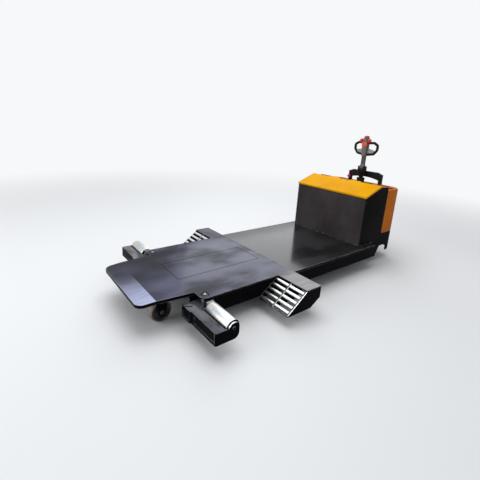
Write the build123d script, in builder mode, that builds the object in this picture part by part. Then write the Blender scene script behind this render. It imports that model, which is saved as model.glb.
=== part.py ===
"""Walk-behind electric tow tractor with roller ramps and fold-out roller arms.

Millimetres, +Z up, origin on the floor under the middle of the machine.
-Y is the low nose that drives under a vehicle, +Y is the operator's end, +X is the right-hand side.
"""
import os
from math import atan2, cos, hypot, sin

from build123d import *

os.makedirs("parts", exist_ok=True)

# Lengths along the machine, from the nose to the operator's end
tongue_length = 410
bay_length = 730
wing_length = 165
rear_deck_length = 1070
box_length = 265
cheek_length = 160
drive_length = 320

y_tip = -(tongue_length + bay_length + wing_length + rear_deck_length
          + box_length + cheek_length + drive_length) / 2
y_tab = y_tip + tongue_length
y_wing = y_tab + bay_length
y_seam = y_wing + wing_length
y_box = y_seam + rear_deck_length
y_hinge = y_box + box_length
y_cheek = y_hinge + cheek_length
y_rear = y_cheek + drive_length

# Widths across the machine
overall_width = 1650
tongue_tip_width = 710
tongue_root_width = 790
front_deck_width = 1024
rear_deck_width = 1072
box_width = 920

# Deck plates
deck_top = 250
deck_plate = 12
deck_under = deck_top - deck_plate
nose_length = 131
nose_drop = 9
tip_corner_radius = 60
tab_corner_radius = 38
seam_gap = 2
lip_depth = 14
lip_width = 20
rear_step = 60

# Deck cover over the cylinder bay
cover_width = 320
cover_setback = 5
cover_length = 820
cover_corner_radius = 8

# Chassis rails
rail_width = 60
rail_height = 100
rail_spacing = 300
side_rail_width = 60
side_rail_height = 108
side_rail_reveal = 14
side_plate = 10
side_plate_inset = 12
side_plate_setback = 108
rail_nose_setback = 4
cross_depth = 48
cross_width = 60

# Folding arms: the pivot is a vertical pin under the deck's tab
pivot_x = 455
pivot_setback = 52
pivot_pin_radius = 20
pin_clearance = 0.1
lock_radius = 44
lock_thickness = 6
lock_sink = 1
lock_corner = 9
lock_gap = 6.5
lock_head_corner = 4
arm_tip_reach = 5
arm_depth = 80
arm_front_lead = 104
arm_top = 200
arm_bottom = 109
arm_plate = 8
arm_end_plate = 12
arm_end_corner = 12
arm_recess_lead = 42
arm_recess_margin = 25
arm_recess_low = 130
arm_recess_high = 182
arm_recess_depth = 3
ear_recess_margin = 16
ear_recess_low = 122
ear_recess_high = 172
ear_lead = 9
ear_inner_x = 420
ear_outer_x = 533
crank_x = 450
crank_lead = 80
crank_pin_radius = 12
crank_lock_radius = 36
crank_pin_foot = 3
crank_pin_gap = 0.3
boss_radius = 28
boss_plate_radius = 42
arm_running_gap = 1.5

# Roller behind each arm's beam
arm_roller_radius = 52
arm_roller_gap = 12
arm_roller_height = 190
arm_axle_radius = 12
arm_rim_radius = 42
arm_cheek_plate = 27
arm_cheek_top = 236
arm_cheek_lead = 24
arm_cheek_tail = 29
roller_end_gap = 3
roller_axle_gap = 0.3

# Lug plate that holds the foot of each pivot pin
lug_thickness = 12
lug_gap = 7
lug_radius = 42
lug_block_reach = 90
lug_block_length = 85

# Arm cylinder
cylinder_base_offset = 50
cylinder_base_setback = 438
cylinder_height = 150
barrel_radius = 26
barrel_bore_radius = 20
barrel_length = 400
gland_length = 15
eye_radius = 22
eye_thickness = 30
rod_radius = 12
rod_reach = 262
piston_length = 30
anchor_plate = 12
anchor_pin_end = 4
anchor_length = 100
anchor_width = 110

# Roller ramps
ramp_run = 190
ramp_drop = 143
ramp_rows = 5
ramp_roller_radius = 15
ramp_axle_radius = 6
ramp_roller_sink = 8
ramp_side_plate = 6
ramp_outer_plate = 8
ramp_divider = 4
ramp_roller_end_gap = 5
ramp_toe = 8
ramp_toe_drop = 10
ramp_foot_run = 250
ramp_rear_depth = 88
ramp_rear_plate = 10

# Front load wheels
front_wheel_radius = 85
front_wheel_width = 60
front_wheel_gap = 9
front_wheel_setback = 218
front_fork_gap = 5
front_fork_plate = 6
front_fork_end = 34
front_axle_radius = 10
front_hub_radius = 26
front_disc_thickness = 30
front_rim_depth = 22
front_tread_round = 10
front_mount_length = 110
front_mount_plate = 10

# Battery box and lid
box_height = 536
lid_rise = 95
box_panel = 4
hinge_radius = 7
hinge_pin_radius = 3.5
hinge_setback = 8.2
hinge_rise = 0.8
hinge_leaf = 3
hinge_strap = 6
hinge_knuckle_count = 5
hinge_length = 700
hinge_gap = 1
lid_sheet = 3
lid_lip = 16
lid_overhang = 9
lid_gap = 2
cheek_top_drop = 11
cheek_rear_drop = 22
cheek_corner_radius = 26
battery_side_gap = 22
battery_end_gap = 14
battery_height = 440

# Drive unit: skirt, cover and grab bar
skirt_bottom = 98
skirt_top = 328
skirt_plate = 6
rear_corner_radius = 140
arch_front_setback = 10
arch_run = 58
arch_length = 140
arch_top = 175
arch_corner = 30
base_hole_radius = 98
cover_top = 825
cover_wall = 4
cover_front_gap = 20
cover_side_gap = 4
cover_step_gap = 4
cover_edge_radius = 14
column_hole_radius = 36
cover_foot_radius = 28
tray_depth = 16
tray_corner = 12

bar_post_x = 205
bar_post_width = 34
bar_post_top = 118
bar_centre_half = 168
bar_centre_top = 138
bar_under_end = 44
bar_under_middle = 68
bar_depth = 45
bar_setback = 38
bar_edge = 8
stop_height = 47
stop_base_radius = 15
stop_base_length = 10
stop_cap_radius = 20
stop_cap_length = 14
stop_cap_edge = 5

# Steering column, drive wheel and tiller
steer_setback = 153
turntable_radius = 112
turntable_thickness = 14
turntable_gap = 0.3
neck_radius = 92
wheel_top_gap = 5
drive_wheel_radius = 115
drive_wheel_width = 75
drive_hub_radius = 40
drive_axle_radius = 16
drive_rim_radius = 70
drive_dish = 22
drive_tread_round = 8
gear_leg_width = 42
gear_leg_length = 120
gear_leg_gap = 5
motor_radius = 78
motor_height = 220
column_radius = 24
column_top = 886
clevis_width = 104
clevis_depth = 84
clevis_top = 1024
clevis_corner = 38
clevis_slot = 58
lug_floor_gap = 1
tilt_height = 1003
tilt_pin_radius = 9
tilt_pin_end = 3
tiller_lug_gap = 1
tiller_lug_radius = 30
tube_width = 46
tube_depth = 34
tube_corner = 5
collar_gap = 4
collar_wall = 4
collar_height = 16
head_bottom = 1147
head_shoulder = 1290
head_top = 1362
head_foot_width = 56
head_width = 66
head_crown_width = 50
head_depth = 72
head_edge = 10
web_thickness = 18
web_tip_height = 1214
web_notch_x = 40
web_notch_rise = 2
web_top = 1244
grip_radius = 15
grip_setback = 16
grip_root_x = 20
grip_reach = 160
grip_bend = 26
grip_high = 1300
grip_shoulder_x = 100
grip_shoulder_rise = 6
grip_outer_high = 1280
grip_outer_low = 1226
grip_low = 1162
grip_foot_x = 108
grip_foot_rise = 16
belly_width = 44
belly_depth = 56
belly_height = 22
belly_corner = 12
belly_edge = 8
paddle_radius = 20
paddle_lead = 18
paddle_width = 30
paddle_gap = 4
paddle_edge = 4
paddle_height = 1328
paddle_shaft_radius = 7

# Stabiliser casters
caster_x = 330
caster_setback = 245
caster_trail = 35
caster_wheel_radius = 50
caster_wheel_width = 36
caster_plate = 10
caster_plate_size = 100
caster_neck_radius = 22
caster_fork_plate = 5
caster_fork_gap = 3
caster_axle_radius = 7
caster_crown_height = 190
caster_gap = 0.3
caster_tread_edge = 5
kingpin_radius = 10


def finish(builder, name):
    """Name a finished piece and write it out."""
    builder.part.label = name
    export_step(builder.part, f"parts/{name}.step")


def block(x_span, y_span, z_span, mode=Mode.ADD):
    """Add a rectangular bar, given its low and high side on each axis, to the part in hand."""
    middle = [(low + high) / 2 for low, high in (x_span, y_span, z_span)]
    with Locations(tuple(middle)):
        Box(x_span[1] - x_span[0], y_span[1] - y_span[0], z_span[1] - z_span[0], mode=mode)


def upright(radius, x, y, z_low, z_high, mode=Mode.ADD):
    """Add a round bar that stands between two heights to the part in hand."""
    with Locations((x, y, (z_low + z_high) / 2)):
        Cylinder(radius, z_high - z_low, mode=mode)


def crossways(radius, x_low, x_high, y, z, mode=Mode.ADD):
    """Add a round bar that lies across the machine to the part in hand."""
    with Locations(Location(((x_low + x_high) / 2, y, z), (0, 90, 0))):
        Cylinder(radius, x_high - x_low, mode=mode)


# Places that several pieces share
y_crease = y_tip + nose_length
y_pivot = y_tab + pivot_setback
pivot = (pivot_x, y_pivot)
y_arm_front = y_tab - arm_front_lead
y_arm_rear = y_arm_front + arm_depth
y_crank = y_tab - crank_lead
y_arm_roller = y_arm_rear + arm_roller_gap + arm_roller_radius
y_cylinder = y_pivot + cylinder_base_setback
half_tip = tongue_tip_width / 2
half_root = tongue_root_width / 2
half_front = front_deck_width / 2
half_rear = rear_deck_width / 2
half_wide = overall_width / 2
half_box = box_width / 2
arm_tip_x = half_wide + arm_tip_reach
y_cover_front = y_tab - cover_setback
y_cover_rear = y_cover_front + cover_length
frame_bottom = deck_under - rail_height
rail_inner = (rail_spacing - rail_width) / 2
rail_outer = (rail_spacing + rail_width) / 2
cylinder_base_x = rail_outer + cylinder_base_offset
side_face = half_front - side_plate_inset
y_side_plate = y_tab + side_plate_setback
lug_top = arm_bottom - lug_gap
lug_bottom = lug_top - lug_thickness

# Folded edge under the tongue, along both its sides and across the nose
with BuildPart() as tongue_lip:
    with BuildSketch(Plane.YZ):
        with BuildLine():
            Polyline(
                (y_tip, deck_under - nose_drop),
                (y_crease, deck_under),
                (y_tab, deck_under),
                (y_tab, deck_under - lip_depth),
                (y_crease, deck_under - lip_depth),
                (y_tip, deck_under - nose_drop - lip_depth),
                close=True,
            )
        make_face()
    extrude(amount=half_root, both=True)
    with BuildSketch(Plane.XY) as lip_plan:
        with BuildLine():
            Polyline(
                (half_tip, y_tip),
                (half_root, y_tab),
                (-half_root, y_tab),
                (-half_tip, y_tip),
                close=True,
            )
        make_face()
        fillet(lip_plan.vertices().group_by(Axis.Y)[0], tip_corner_radius)
    extrude(amount=deck_top, mode=Mode.INTERSECT)
    with BuildSketch(Plane.XY) as lip_inside:
        with BuildLine():
            Polyline(
                (half_tip - lip_width, y_tip + lip_width),
                (half_root - lip_width, y_tab),
                (lip_width - half_root, y_tab),
                (lip_width - half_tip, y_tip + lip_width),
                close=True,
            )
        make_face()
        fillet(lip_inside.vertices().group_by(Axis.Y)[0], tip_corner_radius - lip_width)
    extrude(amount=deck_top, mode=Mode.SUBTRACT)

# Front deck: tongue, tabs and wings in one plate, its nose bent down at the crease
deck_half_outline = [
    (0, y_tip),
    (half_tip, y_tip),
    (half_root, y_tab),
    (half_front, y_tab),
    (half_front, y_wing),
    (half_wide, y_wing),
    (half_wide, y_seam),
    (0, y_seam),
]
with BuildPart() as deck_front:
    with BuildSketch(Plane.YZ) as bent_profile:
        with BuildLine():
            Polyline(
                (y_tip, deck_top - nose_drop),
                (y_crease, deck_top),
                (y_seam, deck_top),
                (y_seam, deck_under),
                (y_crease, deck_under),
                (y_tip, deck_under - nose_drop),
                close=True,
            )
        make_face()
    extrude(amount=half_wide, both=True)
    with BuildSketch(Plane.XY) as deck_plan:
        with BuildLine():
            Polyline(*deck_half_outline, close=True)
        make_face()
        mirror(about=Plane.YZ)
        fillet(deck_plan.vertices().group_by(Axis.Y)[0], tip_corner_radius)
        tab_corners = deck_plan.vertices().filter_by(
            lambda v: abs(v.Y - y_tab) < 1 and abs(abs(v.X) - half_front) < 1)
        fillet(tab_corners, tab_corner_radius)
        with Locations((0, (y_cover_front + y_cover_rear) / 2)):
            RectangleRounded(cover_width, cover_length, cover_corner_radius, mode=Mode.SUBTRACT)
    extrude(amount=deck_top, mode=Mode.INTERSECT)
    with BuildSketch(Plane.XY.offset(deck_top - lock_thickness - lock_sink)) as lock_pockets:
        with Locations((pivot_x, y_pivot), (-pivot_x, y_pivot)):
            RegularPolygon(lock_radius, 3, rotation=-90)
        fillet(lock_pockets.vertices(), lock_corner)
    extrude(amount=lock_thickness + lock_sink, mode=Mode.SUBTRACT)
    for side in (-1, 1):
        upright(pivot_pin_radius + pin_clearance, side * pivot_x, y_pivot,
                deck_under, deck_top, mode=Mode.SUBTRACT)
    add(tongue_lip.part)
finish(deck_front, "deck_front")

# Cover over the cylinder bay, flush with the deck plate
with BuildPart() as deck_cover:
    with BuildSketch(Plane.XY.offset(deck_under)):
        with Locations((0, (y_cover_front + y_cover_rear) / 2)):
            RectangleRounded(cover_width - 2 * seam_gap, cover_length - 2 * seam_gap,
                             cover_corner_radius - seam_gap)
    extrude(amount=deck_plate)
finish(deck_cover, "deck_cover")

# Rear deck plate, from the seam to the end of the battery box, stepped in at its rear corners
y_step = y_hinge - rear_step
with BuildPart() as deck_rear:
    block((-half_rear, half_rear), (y_seam + seam_gap, y_hinge), (deck_under, deck_top))
    for side in (-1, 1):
        strip = sorted((side * half_box, side * half_rear))
        block(strip, (y_step, y_hinge), (deck_under, deck_top), mode=Mode.SUBTRACT)
finish(deck_rear, "deck_rear")

# Long box rails under the deck plates
with BuildPart() as frame_rails:
    for side in (-1, 1):
        rail = sorted((side * rail_inner, side * rail_outer))
        block(rail, (y_crease + rail_nose_setback, y_hinge), (frame_bottom, deck_under))
finish(frame_rails, "frame_rails")

# Side rails under the rear deck's edges, carried forward by a plate beside each wheel bay
side_rail_outer = half_rear + side_rail_reveal
side_rail_inner = side_rail_outer - side_rail_width
side_rail_bottom = deck_under - side_rail_height
with BuildPart() as side_rails:
    for side in (-1, 1):
        side_rail = sorted((side * side_rail_inner, side * side_rail_outer))
        block(side_rail, (y_seam, y_step), (side_rail_bottom, deck_under))
        plate = sorted((side * (side_face - side_plate), side * side_face))
        block(plate, (y_side_plate, y_seam), (lug_top, deck_under))
finish(side_rails, "side_rails")

# Cross members: a middle bar between the long rails and one out to each side at every station
y_lug_rear = y_side_plate + lug_block_length / 2
y_anchor = y_cylinder - anchor_length / 2
cross_stations = [
    y_lug_rear,
    y_anchor + anchor_length,
    y_wing,
    y_seam + rear_deck_length / 3,
    y_seam + rear_deck_length * 2 / 3,
    y_step - cross_width,
]
with BuildPart() as cross_members:
    for y_cross in cross_stations:
        reach = side_face - side_plate if y_cross < y_seam else side_rail_inner
        for span in ((-reach, -rail_outer), (-rail_inner, rail_inner), (rail_outer, reach)):
            block(span, (y_cross, y_cross + cross_width), (deck_under - cross_depth, deck_under))
finish(cross_members, "cross_members")

# Brackets: the lug plate and web that hold each pivot pin's foot, and each cylinder's anchor pin
lug_reach = side_face - rail_outer
with BuildPart() as frame_brackets:
    for side in (-1, 1):
        with BuildSketch(Plane.XY.offset(lug_bottom)) as lug_plan:
            with Locations((side * (rail_outer + side_face) / 2, y_side_plate)):
                Rectangle(lug_reach, lug_block_length)
            with Locations((side * pivot_x, y_pivot)):
                Circle(lug_radius)
            with BuildLine():
                Polyline(
                    (side * rail_outer, y_side_plate),
                    (side * (rail_outer + lug_block_reach), y_pivot - lug_radius / 2),
                    (side * pivot_x, y_pivot - lug_radius),
                    (side * side_face, y_side_plate),
                    close=True,
                )
            make_face()
        extrude(amount=lug_thickness)
        web = sorted((side * rail_outer, side * (rail_outer + lug_block_reach)))
        block(web, (y_side_plate, y_lug_rear), (lug_bottom, deck_under))
        anchor = sorted((side * rail_outer, side * (rail_outer + anchor_width)))
        block(anchor, (y_anchor, y_anchor + anchor_length), (deck_under - anchor_plate, deck_under))
        upright(crank_pin_radius, side * cylinder_base_x, y_cylinder,
                cylinder_height - eye_thickness / 2 - anchor_pin_end, deck_under - anchor_plate)
        upright(pivot_pin_radius + pin_clearance, side * pivot_x, y_pivot,
                lug_bottom, lug_top, mode=Mode.SUBTRACT)
finish(frame_brackets, "frame_brackets")

# Pivot pins of the arms, each locked by a rounded triangular head let into the deck
with BuildPart() as pivot_pins:
    for side in (-1, 1):
        upright(pivot_pin_radius, side * pivot_x, y_pivot,
                lug_bottom, deck_top - lock_sink - lock_thickness)
    with BuildSketch(Plane.XY.offset(deck_top - lock_sink - lock_thickness)) as lock_heads:
        with Locations((pivot_x, y_pivot), (-pivot_x, y_pivot)):
            RegularPolygon(lock_radius - 2 * lock_gap, 3, rotation=-90)
        fillet(lock_heads.vertices(), lock_head_corner)
    extrude(amount=lock_thickness)
finish(pivot_pins, "pivot_pins")

# Folding arm: a hollow beam on a two-plate knuckle, whose ear carries the cylinder's pin
y_ear = y_arm_front - ear_lead
beam_start_x = ear_outer_x - 45
arm_middle = ((y_arm_front + y_arm_rear) / 2, (arm_top + arm_bottom) / 2)
arm_height = arm_top - arm_bottom
z_rim_low = arm_bottom + arm_rim_radius
with BuildPart() as arm_right:
    with BuildSketch(Plane.YZ.offset(beam_start_x)):
        with Locations(arm_middle):
            Rectangle(arm_depth, arm_height)
    extrude(amount=arm_plate)
    with BuildSketch(Plane.YZ.offset(beam_start_x)):
        with Locations(arm_middle):
            Rectangle(arm_depth, arm_height)
            Rectangle(arm_depth - 2 * arm_plate, arm_height - 2 * arm_plate, mode=Mode.SUBTRACT)
    extrude(amount=arm_tip_x - beam_start_x)
    for plate_bottom in (arm_bottom, arm_top - arm_plate):
        with BuildSketch(Plane.XY.offset(plate_bottom)):
            with BuildLine():
                Polyline(
                    (ear_inner_x, y_ear),
                    (ear_outer_x, y_ear),
                    (ear_outer_x, y_arm_rear),
                    (pivot_x + boss_plate_radius, y_pivot),
                    (pivot_x - boss_plate_radius, y_pivot),
                    (ear_inner_x, y_crank + crank_lock_radius),
                    close=True,
                )
            make_face()
            with Locations(pivot):
                Circle(boss_plate_radius)
        extrude(amount=arm_plate)
    block((ear_inner_x, ear_outer_x), (y_ear, y_ear + arm_plate), (arm_bottom, arm_top))
    block((beam_start_x - 2 * arm_plate, beam_start_x), (y_arm_rear - arm_plate, y_pivot),
          (arm_bottom, arm_top))
    with BuildSketch(Plane.YZ.offset(ear_outer_x)):
        with BuildLine():
            Polyline(
                (y_arm_front, arm_bottom),
                (y_arm_roller + arm_cheek_tail, arm_bottom),
                (y_arm_roller + arm_cheek_tail, arm_cheek_top),
                (y_arm_roller - arm_cheek_lead, arm_cheek_top),
                (y_arm_roller - arm_cheek_lead, arm_top),
                (y_arm_front, arm_top),
                close=True,
            )
        make_face()
    extrude(amount=arm_cheek_plate)
    with BuildSketch(Plane.YZ.offset(arm_tip_x - arm_end_plate)):
        with BuildLine():
            Polyline(
                (y_arm_front, arm_bottom),
                (y_arm_roller, arm_bottom),
                (y_arm_roller, arm_top),
                (y_arm_front, arm_top),
                close=True,
            )
        make_face()
        with Locations((y_arm_roller, (z_rim_low + arm_roller_height) / 2)):
            Rectangle(2 * arm_rim_radius, arm_roller_height - z_rim_low)
        with Locations((y_arm_roller, z_rim_low), (y_arm_roller, arm_roller_height)):
            Circle(arm_rim_radius)
    extrude(amount=arm_end_plate)
    crossways(arm_axle_radius + pin_clearance, ear_outer_x - 1, arm_tip_x + 1,
              y_arm_roller, arm_roller_height, mode=Mode.SUBTRACT)
    upright(boss_radius, pivot_x, y_pivot, lug_top + arm_running_gap, deck_under - arm_running_gap)
    upright(pivot_pin_radius + pin_clearance, pivot_x, y_pivot, lug_top, deck_under,
            mode=Mode.SUBTRACT)
    with BuildSketch(Plane.XY.offset(arm_top)) as crank_head:
        with Locations((crank_x, y_crank)):
            RegularPolygon(crank_lock_radius, 3, rotation=-90)
        fillet(crank_head.vertices(), lock_head_corner)
    extrude(amount=lock_thickness)
    upright(crank_pin_radius, crank_x, y_crank, arm_bottom - crank_pin_foot, arm_bottom)
    fillet(arm_right.edges().filter_by(Axis.Z).filter_by(
        lambda e: abs(e.center().X - arm_tip_x) < 1 and abs(e.center().Y - y_arm_front) < 1),
        arm_end_corner)
    block((ear_outer_x + arm_recess_lead, arm_tip_x - arm_recess_margin),
          (y_arm_front, y_arm_front + arm_recess_depth),
          (arm_recess_low, arm_recess_high), mode=Mode.SUBTRACT)
    block((ear_inner_x + ear_recess_margin, ear_outer_x - ear_recess_margin),
          (y_ear, y_ear + arm_recess_depth),
          (ear_recess_low, ear_recess_high), mode=Mode.SUBTRACT)
finish(arm_right, "arm_right")

with BuildPart() as arm_left:
    mirror(arm_right.part, about=Plane.YZ)
finish(arm_left, "arm_left")

# Plain roller on its axle between the arm's end plates
roller_x_low = ear_outer_x + arm_cheek_plate + roller_end_gap
roller_x_high = arm_tip_x - arm_end_plate - roller_end_gap
with BuildPart() as arm_roller_right:
    crossways(arm_roller_radius, roller_x_low, roller_x_high, y_arm_roller, arm_roller_height)
    chamfer(arm_roller_right.edges().filter_by(GeomType.CIRCLE), 2)
    crossways(arm_axle_radius, ear_outer_x, arm_tip_x, y_arm_roller, arm_roller_height)
finish(arm_roller_right, "arm_roller_right")

with BuildPart() as arm_roller_left:
    mirror(arm_roller_right.part, about=Plane.YZ)
finish(arm_roller_left, "arm_roller_left")

# Arm cylinder, drawn along its own line from the chassis pin to the ear's pin
stroke_x = crank_x - cylinder_base_x
stroke_y = y_crank - y_cylinder
pin_distance = hypot(stroke_x, stroke_y)
cylinder_line = Plane(
    origin=(cylinder_base_x, y_cylinder, cylinder_height),
    x_dir=(stroke_x, stroke_y, 0),
    z_dir=(0, 0, 1),
)
cylinder_axis = Axis((cylinder_base_x, y_cylinder, cylinder_height), (stroke_x, stroke_y, 0))
with BuildPart() as cylinder_barrel_right:
    with BuildSketch(cylinder_line):
        with BuildLine():
            Polyline(
                (0, 0),
                (eye_radius + barrel_radius, 0),
                (eye_radius + barrel_radius, barrel_bore_radius),
                (barrel_length - gland_length, barrel_bore_radius),
                (barrel_length - gland_length, rod_radius + pin_clearance),
                (barrel_length, rod_radius + pin_clearance),
                (barrel_length, barrel_radius),
                (eye_radius, barrel_radius),
                (eye_radius, eye_thickness / 2),
                (0, eye_thickness / 2),
                close=True,
            )
        make_face()
    revolve(axis=cylinder_axis)
    upright(eye_radius, cylinder_base_x, y_cylinder,
            cylinder_height - eye_thickness / 2, cylinder_height + eye_thickness / 2)
    upright(crank_pin_radius + pin_clearance, cylinder_base_x, y_cylinder,
            cylinder_height - barrel_radius, cylinder_height + barrel_radius, mode=Mode.SUBTRACT)
finish(cylinder_barrel_right, "cylinder_barrel_right")

with BuildPart() as cylinder_barrel_left:
    mirror(cylinder_barrel_right.part, about=Plane.YZ)
finish(cylinder_barrel_left, "cylinder_barrel_left")

# Its rod, whose eye carries the part of the ear's pin that stands between the ear's plates
piston_start = pin_distance - rod_reach
with BuildPart() as cylinder_rod_right:
    with BuildSketch(cylinder_line):
        with BuildLine():
            Polyline(
                (piston_start, 0),
                (pin_distance, 0),
                (pin_distance, rod_radius),
                (piston_start + piston_length, rod_radius),
                (piston_start + piston_length, barrel_bore_radius - pin_clearance),
                (piston_start, barrel_bore_radius - pin_clearance),
                close=True,
            )
        make_face()
    revolve(axis=cylinder_axis)
    upright(eye_radius, crank_x, y_crank,
            cylinder_height - eye_thickness / 2, cylinder_height + eye_thickness / 2)
    upright(crank_pin_radius, crank_x, y_crank,
            arm_bottom + arm_plate + crank_pin_gap, arm_top - arm_plate - crank_pin_gap)
finish(cylinder_rod_right, "cylinder_rod_right")

with BuildPart() as cylinder_rod_left:
    mirror(cylinder_rod_right.part, about=Plane.YZ)
finish(cylinder_rod_left, "cylinder_rod_left")

# Ramp frames: inner plate, divider and outer plate under the wing, on a toe and a rear plate
ramp_angle = atan2(ramp_drop, ramp_run)
ramp_pitch = hypot(ramp_drop, ramp_run) / ramp_rows
y_ramp_toe = y_wing - ramp_run
z_ramp_toe = deck_under - ramp_drop
ramp_inner_x = side_face + ramp_side_plate
ramp_outer_x = half_wide - ramp_outer_plate
ramp_middle_x = (ramp_inner_x + ramp_outer_x) / 2
ramp_plates = [
    (side_face, ramp_side_plate),
    (ramp_middle_x - ramp_divider / 2, ramp_divider),
    (ramp_outer_x, ramp_outer_plate),
]
ramp_axles = [
    (
        y_wing - (row + 0.5) * ramp_pitch * cos(ramp_angle) + ramp_roller_sink * sin(ramp_angle),
        deck_under - (row + 0.5) * ramp_pitch * sin(ramp_angle) - ramp_roller_sink * cos(ramp_angle),
    )
    for row in range(ramp_rows)
]
with BuildPart() as ramp_frame_right:
    for x_plate, thickness in ramp_plates:
        with BuildSketch(Plane.YZ.offset(x_plate)):
            with BuildLine():
                Polyline(
                    (y_wing, deck_under),
                    (y_ramp_toe, z_ramp_toe),
                    (y_ramp_toe, z_ramp_toe - ramp_toe_drop),
                    (y_ramp_toe + ramp_foot_run, z_ramp_toe - ramp_toe_drop),
                    (y_seam, deck_under - ramp_rear_depth),
                    (y_seam, deck_under),
                    close=True,
                )
            make_face()
        extrude(amount=thickness)
    block((side_face, half_wide), (y_ramp_toe, y_ramp_toe + ramp_toe),
          (z_ramp_toe - ramp_toe_drop, z_ramp_toe))
    block((side_face, half_wide), (y_seam - ramp_rear_plate, y_seam),
          (deck_under - ramp_rear_depth, deck_under))
    for y_axle, z_axle in ramp_axles:
        crossways(ramp_axle_radius + pin_clearance, side_face, half_wide,
                  y_axle, z_axle, mode=Mode.SUBTRACT)
finish(ramp_frame_right, "ramp_frame_right")

with BuildPart() as ramp_frame_left:
    mirror(ramp_frame_right.part, about=Plane.YZ)
finish(ramp_frame_left, "ramp_frame_left")

# Ramp rollers: two on one axle in each of the rows, counted from the wing down to the toe
roller_columns = [
    (ramp_inner_x, ramp_middle_x - ramp_divider / 2),
    (ramp_middle_x + ramp_divider / 2, ramp_outer_x),
]
for row, (y_axle, z_axle) in enumerate(ramp_axles, start=1):
    with BuildPart() as ramp_row:
        for x_low, x_high in roller_columns:
            crossways(ramp_roller_radius, x_low + ramp_roller_end_gap, x_high - ramp_roller_end_gap,
                      y_axle, z_axle)
        chamfer(ramp_row.edges().filter_by(GeomType.CIRCLE), 1)
        crossways(ramp_axle_radius, side_face + roller_axle_gap, half_wide, y_axle, z_axle)
    finish(ramp_row, f"ramp_roller_right_{row}")
    with BuildPart() as ramp_row_left:
        mirror(ramp_row.part, about=Plane.YZ)
    finish(ramp_row_left, f"ramp_roller_left_{row}")

# Front load wheels in fixed forks under the tongue
y_front_wheel = y_tip + front_wheel_setback
fork_inner = front_wheel_width / 2 + front_fork_gap
fork_outer = fork_inner + front_fork_plate
front_wheel_x = rail_outer + front_wheel_gap + fork_outer
with BuildPart() as front_wheel_mounts:
    for side in (-1, 1):
        x_wheel = side * front_wheel_x
        block((x_wheel - fork_outer, x_wheel + fork_outer),
              (y_front_wheel - front_mount_length / 2, y_front_wheel + front_mount_length / 2),
              (deck_under - front_mount_plate, deck_under))
        for x_plate in (x_wheel - fork_outer, x_wheel + fork_inner):
            with BuildSketch(Plane.YZ.offset(x_plate)):
                with BuildLine():
                    Polyline(
                        (y_front_wheel - front_mount_length / 2, deck_under),
                        (y_front_wheel - front_fork_end, front_wheel_radius),
                        (y_front_wheel + front_fork_end, front_wheel_radius),
                        (y_front_wheel + front_mount_length / 2, deck_under),
                        close=True,
                    )
                make_face()
                with Locations((y_front_wheel, front_wheel_radius)):
                    Circle(front_fork_end)
            extrude(amount=front_fork_plate)
        crossways(front_axle_radius + pin_clearance, x_wheel - fork_outer, x_wheel + fork_outer,
                  y_front_wheel, front_wheel_radius, mode=Mode.SUBTRACT)
finish(front_wheel_mounts, "front_wheel_mounts")

front_wheel_axis = Axis((0, y_front_wheel, front_wheel_radius), (1, 0, 0))
with BuildPart() as front_wheel_right:
    with BuildSketch(Plane((front_wheel_x, y_front_wheel, front_wheel_radius),
                           x_dir=(1, 0, 0), z_dir=(0, 1, 0))) as front_wheel_section:
        with BuildLine():
            Polyline(
                (0, 0),
                (fork_outer, 0),
                (fork_outer, front_axle_radius),
                (fork_inner - roller_axle_gap, front_axle_radius),
                (fork_inner - roller_axle_gap, front_hub_radius),
                (front_disc_thickness / 2, front_hub_radius),
                (front_disc_thickness / 2, front_wheel_radius - front_rim_depth),
                (front_wheel_width / 2, front_wheel_radius - front_rim_depth),
                (front_wheel_width / 2, front_wheel_radius - front_tread_round),
                (front_wheel_width / 2 - front_tread_round, front_wheel_radius),
                (0, front_wheel_radius),
                close=True,
            )
        make_face()
        mirror(about=Plane.YZ)
    revolve(axis=front_wheel_axis)
finish(front_wheel_right, "front_wheel_right")

with BuildPart() as front_wheel_left:
    mirror(front_wheel_right.part, about=Plane.YZ)
finish(front_wheel_left, "front_wheel_left")

# Battery box: folded sheet, open on top, whose sides run on behind it as cheeks
z_front = deck_top + box_height
z_back = z_front + lid_rise
y_lid_axis = y_hinge + hinge_setback
z_lid_axis = z_back + hinge_rise
knuckle_pitch = hinge_length / hinge_knuckle_count
knuckle_length = knuckle_pitch - hinge_gap
hinge_stations = [
    -hinge_length / 2 + hinge_gap / 2 + knuckle * knuckle_pitch
    for knuckle in range(hinge_knuckle_count)
]
with BuildPart() as battery_box:
    with BuildSketch(Plane.YZ) as box_side:
        with BuildLine():
            Polyline(
                (y_box, deck_top),
                (y_box, z_front),
                (y_hinge, z_back),
                (y_hinge, z_back - cheek_top_drop),
                (y_cheek, z_back - cheek_rear_drop),
                (y_cheek, deck_top),
                close=True,
            )
        make_face()
        fillet(box_side.vertices().group_by(Axis.X)[-1].sort_by(Axis.Y)[-1], cheek_corner_radius)
    extrude(amount=half_box, both=True)
    inside = (box_panel - half_box, half_box - box_panel)
    block(inside, (y_box + box_panel, y_hinge - box_panel),
          (deck_top + box_panel, z_back), mode=Mode.SUBTRACT)
    block(inside, (y_hinge, y_cheek), (deck_top, z_back), mode=Mode.SUBTRACT)
    for knuckle, x_knuckle in enumerate(hinge_stations):
        if knuckle % 2 == 0:
            crossways(hinge_radius, x_knuckle, x_knuckle + knuckle_length, y_lid_axis, z_lid_axis)
            block((x_knuckle, x_knuckle + knuckle_length), (y_hinge, y_lid_axis),
                  (z_lid_axis - hinge_radius, z_lid_axis - hinge_leaf))
    crossways(hinge_pin_radius + pin_clearance, -hinge_length / 2, hinge_length / 2,
              y_lid_axis, z_lid_axis, mode=Mode.SUBTRACT)
finish(battery_box, "battery_box")

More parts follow.
